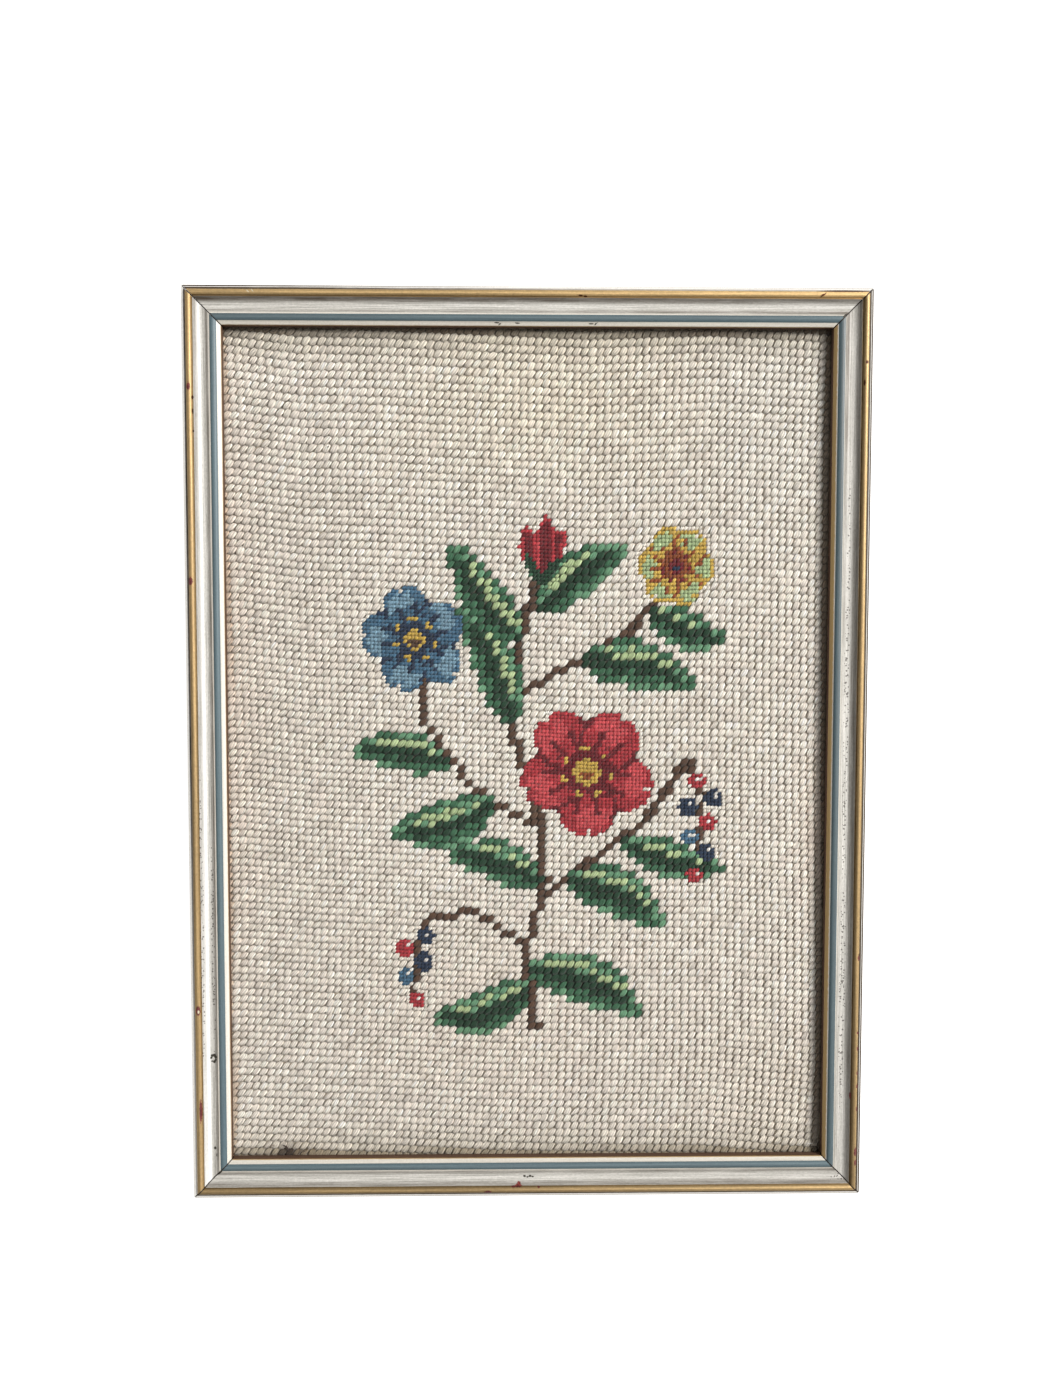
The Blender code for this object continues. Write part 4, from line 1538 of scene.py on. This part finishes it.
def build_rail(side, outline, materials):
    """One length of moulding with its mitres, knocks and maps."""
    flat, finishes = outline
    level = abs(side.outwards.y) > 0
    sight_length, distance = (SIGHT_WIDTH, SIGHT_HEIGHT / 2) if level else (SIGHT_HEIGHT, SIGHT_WIDTH / 2)
    shares = rail_stations(side, sight_length)
    along = shares[:, None] * (sight_length / 2 + flat[:, 0] - JOINT_GAP / 2 * math.sqrt(2))
    marks, sink = knock_marks(side, flat, along)
    normals = section_normals(flat)
    out_way = np.array(side.outwards)
    along_way = np.array((1.0, 0, 0)) if level else np.array((0, 1.0, 0))
    sunk = flat[:, 0] - normals[:, 0] * sink
    places = out_way * (distance + sunk[..., None]) + along_way * along[..., None]
    places[..., 2] = flat[:, 1] - normals[:, 1] * sink
    turning = np.cross(along_way, out_way)[2] > 0
    count, each = along.shape
    parts = rail_sides(shares, flat, along, turning), rail_ends(flat, count, turning)
    corners, spots, grain = (np.concatenate(both) for both in zip(*parts))
    sizes = [4] * ((count - 1) * each) + [each, each]
    mesh = mesh_from_arrays(side.name, places.reshape(-1, 3), corners, sizes)
    add_map(mesh, "OFBake", spots)
    add_map(mesh, "section", grain)
    outwards = flat[:, 0] / MM
    values = {
        # The groove and toning amounts hold dirt with painted shade, the highlight amounts a painted
        # highlight on the silver, and the gilt amounts painted light along the gilt
        **marks,
        "from_sight": np.tile(flat[:, 0] / side.gilt_edge, (count, 1)),
        "outwards": np.tile(outwards, (count, 1)),
        "groove_shade_dirt": groove_shade_and_dirt_amounts(outwards, shares, side.name),
        "shade_toning": wide_amounts(SHADE_TONINGS, outwards, shares, side.name),
        "painted_highlight": wide_amounts(PAINTED_HIGHLIGHTS, outwards, shares, side.name),
        "gilt_light": np.repeat(along_rail(shares, side.gilt_light), each),
    }
    for name, amounts in values.items():
        add_value(mesh, name, amounts)
    mesh.set_sharp_from_angle(angle=CREASE_ANGLE)
    rail = new_piece("moulding_" + side.name, mesh, *materials)
    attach(rail, BODY)
    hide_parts("rail_" + side.name)
    kinds = np.tile([FINISHES.index(finish) for finish in finishes], count - 1)
    cuts = [FINISHES.index("mitre_cut")] * 2
    mesh.polygons.foreach_set("material_index", np.concatenate((kinds, cuts)).astype(np.int32))


class NEEDLEPOINT_OT_moulding(bpy.types.Operator):
    """Build the four lengths of painted moulding."""

    bl_idname = "needlepoint.moulding"
    bl_label = "Build Moulding"

    def execute(self, context):
        outline = section_outline()
        materials = moulding_materials(context.scene.needlepoint.moulding)
        for side in SIDES:
            build_rail(side, outline, materials)
        build_mitre_glue(outline)
        return {"FINISHED"}


def build_mitre_glue(outline):
    """The dark old glue in the four mitres, a little below the paint."""
    flat = outline[0]
    inset = flat - section_normals(flat) * GLUE_SINK
    each = len(inset)
    corners, places, sizes = [], [], []
    for sideways in (-1, 1):
        for upwards in (-1, 1):
            across = np.array((sideways, -upwards, 0)) / math.sqrt(2)
            first = len(places) * each
            for face in (-1, 1):
                plan = np.zeros((each, 3))
                plan[:, 0] = sideways * (SIGHT_WIDTH / 2 + inset[:, 0])
                plan[:, 1] = upwards * (SIGHT_HEIGHT / 2 + inset[:, 0])
                plan[:, 2] = inset[:, 1]
                places.append(plan + across * face * GLUE_THICKNESS / 2)
            ring = np.arange(each)
            after = np.roll(ring, -1)
            walls = np.stack((ring, after, after + each, ring + each), axis=-1)
            caps = [ring[::-1], ring + each]
            if sideways * upwards < 0:
                walls = walls[:, ::-1]
                caps = [cap[::-1] for cap in caps]
            corners += [walls.ravel() + first] + [cap + first for cap in caps]
            sizes += [4] * each + [each, each]
    mesh = mesh_from_arrays("mitre_glue", np.concatenate(places), np.concatenate(corners), sizes)
    mesh.set_sharp_from_angle(angle=CREASE_ANGLE)
    glue = new_piece("mitre_glue", mesh, glue_material())
    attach(glue, BODY)


class NEEDLEPOINT_OT_ground(bpy.types.Operator):
    """Work the cream ground in wool, in upright strips, and the fine ground round the flowers."""

    bl_idname = "needlepoint.ground"
    bl_label = "Work Ground"

    def execute(self, context):
        settings = context.scene.needlepoint
        (big, big_yarn), (fine, fine_yarn) = chart_spray()
        ground = big[big_yarn == 0]
        order = np.argsort(ground[:, 0], kind="stable")
        parts = [
            (f"ground_stitches_{number}", ground[part], 1.0, number)
            for number, part in enumerate(np.array_split(order, GROUND_STRIPS), start=1)
        ]
        parts.append(("fine_ground_stitches", fine[fine_yarn == 0], FINE, 10))
        for name, cells, size, seed in parts:
            stitches_piece(name, cells, np.zeros(len(cells), int), size, settings, seed)
        return {"FINISHED"}


class NEEDLEPOINT_OT_spray(bpy.types.Operator):
    """Work the flower spray: leaves and stems in big stitches, flowers and berries in fine ones."""

    bl_idname = "needlepoint.spray"
    bl_label = "Work Flower Spray"

    def execute(self, context):
        settings = context.scene.needlepoint
        (big, big_yarn), (fine, fine_yarn) = chart_spray()
        stem = big_yarn == YARNS.index("brown")
        parts = (
            ("leaf_stitches", big, big_yarn, (big_yarn > 0) & ~stem, 1.0, 20),
            ("stem_stitches", big, big_yarn, stem, 1.0, 21),
            ("flower_stitches", fine, fine_yarn, fine_yarn > 0, FINE, 22),
        )
        for name, cells, yarns, chosen, size, seed in parts:
            stitches_piece(name, cells[chosen], yarns[chosen], size, settings, seed)
        return {"FINISHED"}


class NEEDLEPOINT_OT_canvas(bpy.types.Operator):
    bl_idname = "needlepoint.canvas"
    bl_label = "Build Canvas"

    def execute(self, context):
        material = canvas_material(context.scene.needlepoint.board.canvas)
        canvas = new_piece("canvas", canvas_mesh(), material)
        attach(canvas, BODY)
        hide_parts("needlepoint")
        return {"FINISHED"}


def grid_lines(size):
    """Places of the grid's lines over one side of the sheet."""
    return np.linspace(-size / 2, size / 2, round(size / CANVAS_CELL) + 1)


def canvas_mesh():
    """The closed sheet of the canvas, with how far each point is painted."""
    across, up = np.meshgrid(grid_lines(SHEET_WIDTH), grid_lines(SHEET_HEIGHT), indexing="ij")
    face = sheet_height(across, up)
    points = np.concatenate([
        np.stack((across, up, face - below), axis=-1).reshape(-1, 3)
        for below in (CANVAS_BELOW_FACE, SHEET_THICKNESS)
    ])
    number = np.arange(across.size).reshape(across.shape)
    quads = np.stack((number[:-1, :-1], number[1:, :-1], number[1:, 1:], number[:-1, 1:]), axis=-1)
    quads = quads.reshape(-1, 4)
    rim = np.concatenate((number[:-1, 0], number[-1, :-1], number[:0:-1, -1], number[0, :0:-1]))
    beside = np.roll(rim, -1)
    wall = np.stack((rim, rim + across.size, beside + across.size, beside), axis=-1)
    corners = np.concatenate((quads, quads[:, ::-1] + across.size, wall))
    mesh = mesh_from_arrays("canvas", points, corners.ravel(), np.full(len(corners), 4))
    add_value(mesh, "painted", painted_share(points))
    return mesh


def painted_share(points):
    """How far each point of the canvas lies under the spray, where it is painted a dark green."""
    (big, big_yarn), (fine, fine_yarn) = chart_spray()
    coloured = np.concatenate((big[big_yarn > 0], fine[fine_yarn > 0]))
    places = canvas_place(coloured[:, 0], coloured[:, 1])
    tree = KDTree(len(places))
    for number, place in enumerate(places):
        tree.insert((place[0], place[1], 0), number)
    tree.balance()
    distances = np.array([tree.find((point[0], point[1], 0))[2] for point in points])
    return smooth_fall((distances - 0.5 * PITCH) / (0.5 * PITCH))


class NEEDLEPOINT_OT_fluff(bpy.types.Operator):
    """Scatter the dust and fluff that is caught on the wool."""

    bl_idname = "needlepoint.fluff"
    bl_label = "Scatter Fluff"

    def execute(self, context):
        random = np.random.default_rng(31)
        curve = bpy.data.curves.new("fluff", "CURVE")
        curve.dimensions = "3D"
        curve.bevel_depth = MM
        curve.bevel_resolution = 2
        curve.use_fill_caps = True
        for fluff in FLUFF:
            spline = curve.splines.new("NURBS")
            spline.points.add(4)
            turn = random.uniform(-0.6, 0.6)
            for number, point in enumerate(spline.points):
                share = number / 4 - 0.5
                across = fluff.across + math.cos(turn) * fluff.length * share
                up = fluff.up + math.sin(turn) * fluff.length * share + random.normal(0, 0.12) * fluff.length
                height = float(sheet_height(np.array(across), np.array(up))) + random.uniform(0, 0.2) * MM
                point.co = (across, up, height, 1)
                point.radius = fluff.radius / MM * (1.0 if 0 < number < 4 else 0.5)
            spline.use_endpoint_u = True
            spline.order_u = 3
        guide = bpy.data.objects.new("fluff", curve)
        context.scene.collection.objects.link(guide)
        context.view_layer.update()
        mesh = bpy.data.meshes.new_from_object(guide.evaluated_get(context.evaluated_depsgraph_get()))
        bpy.data.objects.remove(guide, do_unlink=True)
        mesh.materials.clear()
        piece = new_piece("fluff", mesh, fluff_material())
        colour_fluff(mesh)
        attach(piece, BODY)
        return {"FINISHED"}


def colour_fluff(mesh):
    """Give each vertex the colour of the nearest row of the fluff table."""
    points = np.empty(len(mesh.vertices) * 3, np.float32)
    mesh.vertices.foreach_get("co", points)
    points = points.reshape(-1, 3)
    middles = np.array([(fluff.across, fluff.up) for fluff in FLUFF])
    nearest = np.linalg.norm(points[:, None, :2] - middles, axis=-1).argmin(axis=1)
    colours = np.ones((len(points), 4), np.float32)
    colours[:, :3] = np.array([fluff.colour for fluff in FLUFF])[nearest]
    add_colours(mesh, colours)


class NEEDLEPOINT_OT_board(bpy.types.Operator):
    """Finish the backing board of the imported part."""

    bl_idname = "needlepoint.board"
    bl_label = "Finish Backing Board"

    def execute(self, context):
        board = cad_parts["backing_board"]
        board.data.materials.clear()
        board.data.materials.append(board_material(context.scene.needlepoint.board.board))
        return {"FINISHED"}


def add_light(name, place, size, power, colour):
    """Add a square soft light that faces the frame."""
    lamp = bpy.data.lights.new(name, "AREA")
    lamp.shape = "SQUARE"
    lamp.size = size
    lamp.energy = power
    lamp.color = colour
    light = bpy.data.objects.new(name, lamp)
    light.location = place
    light.rotation_euler = Vector(place).to_track_quat("Z", "Y").to_euler()
    bpy.context.scene.collection.objects.link(light)


class NEEDLEPOINT_OT_stage(bpy.types.Operator):
    """Set up the camera, the pale floor and the soft lights."""

    bl_idname = "needlepoint.stage"
    bl_label = "Set Stage"

    def execute(self, context):
        stage = context.scene.needlepoint.stage
        lens = bpy.data.cameras.new("camera")
        lens.lens = stage.lens
        lens.sensor_width = SENSOR
        camera = bpy.data.objects.new("camera", lens)
        turn = Vector(CAMERA_TURN)
        turned = Matrix.Rotation(turn.length, 4, turn.normalized())
        camera.matrix_world = Matrix.Translation(CAMERA_PLACE) @ turned
        context.scene.collection.objects.link(camera)
        context.scene.camera = camera
        bpy.ops.mesh.primitive_plane_add(size=FLOOR_SIZE, location=(0, 0, -FLOOR_DROP))
        floor = context.active_object
        floor.name = "floor"
        floor.data.materials.append(floor_material(stage))
        world = bpy.data.worlds.new("studio")
        world.use_nodes = True
        sky = world.node_tree.nodes["Background"]
        feed(world.node_tree, sky, {"Color": (*SOFT_WHITE, 1), "Strength": stage.sky_strength})
        context.scene.world = world
        level = LIGHT_DISTANCE * math.cos(LIGHT_HEIGHT)
        height = LIGHT_DISTANCE * math.sin(LIGHT_HEIGHT)
        window = level * math.cos(LIGHT_TURN), level * math.sin(LIGHT_TURN), height
        add_light("window", window, LIGHT_SIZE, stage.window_power, WINDOW_WHITE)
        add_light("overhead", (0, 0, OVERHEAD_HEIGHT), OVERHEAD_SIZE, stage.overhead_power, SOFT_WHITE)
        context.scene.view_settings.view_transform = "Standard"
        return {"FINISHED"}


class NEEDLEPOINT_PT_panel(bpy.types.Panel):
    """Steps of the framed needlepoint."""

    bl_label = "Framed Needlepoint"
    bl_idname = "NEEDLEPOINT_PT_panel"
    bl_space_type = "VIEW_3D"
    bl_region_type = "UI"
    bl_category = "Needlepoint"

    def draw(self, context):
        for operator in OPERATORS:
            self.layout.operator(operator.bl_idname)


OPERATORS = (
    NEEDLEPOINT_OT_stage,
    NEEDLEPOINT_OT_moulding,
    NEEDLEPOINT_OT_ground,
    NEEDLEPOINT_OT_spray,
    NEEDLEPOINT_OT_canvas,
    NEEDLEPOINT_OT_fluff,
    NEEDLEPOINT_OT_board,
)
CLASSES = (
    YarnColours,
    StitchSettings,
    MouldingSettings,
    BoardSettings,
    StageSettings,
    NeedlepointSettings,
    *OPERATORS,
    NEEDLEPOINT_PT_panel,
)


def register():
    """Register the classes and the settings."""
    for item in CLASSES:
        bpy.utils.register_class(item)
    bpy.types.Scene.needlepoint = PointerProperty(type=NeedlepointSettings)


def unregister():
    """Remove the settings and the classes."""
    del bpy.types.Scene.needlepoint
    for item in reversed(CLASSES):
        bpy.utils.unregister_class(item)


def main():
    """Build everything."""
    register()
    for operator in OPERATORS:
        group, step = operator.bl_idname.split(".")
        getattr(getattr(bpy.ops, group), step)()


if __name__ == "__main__":
    main()
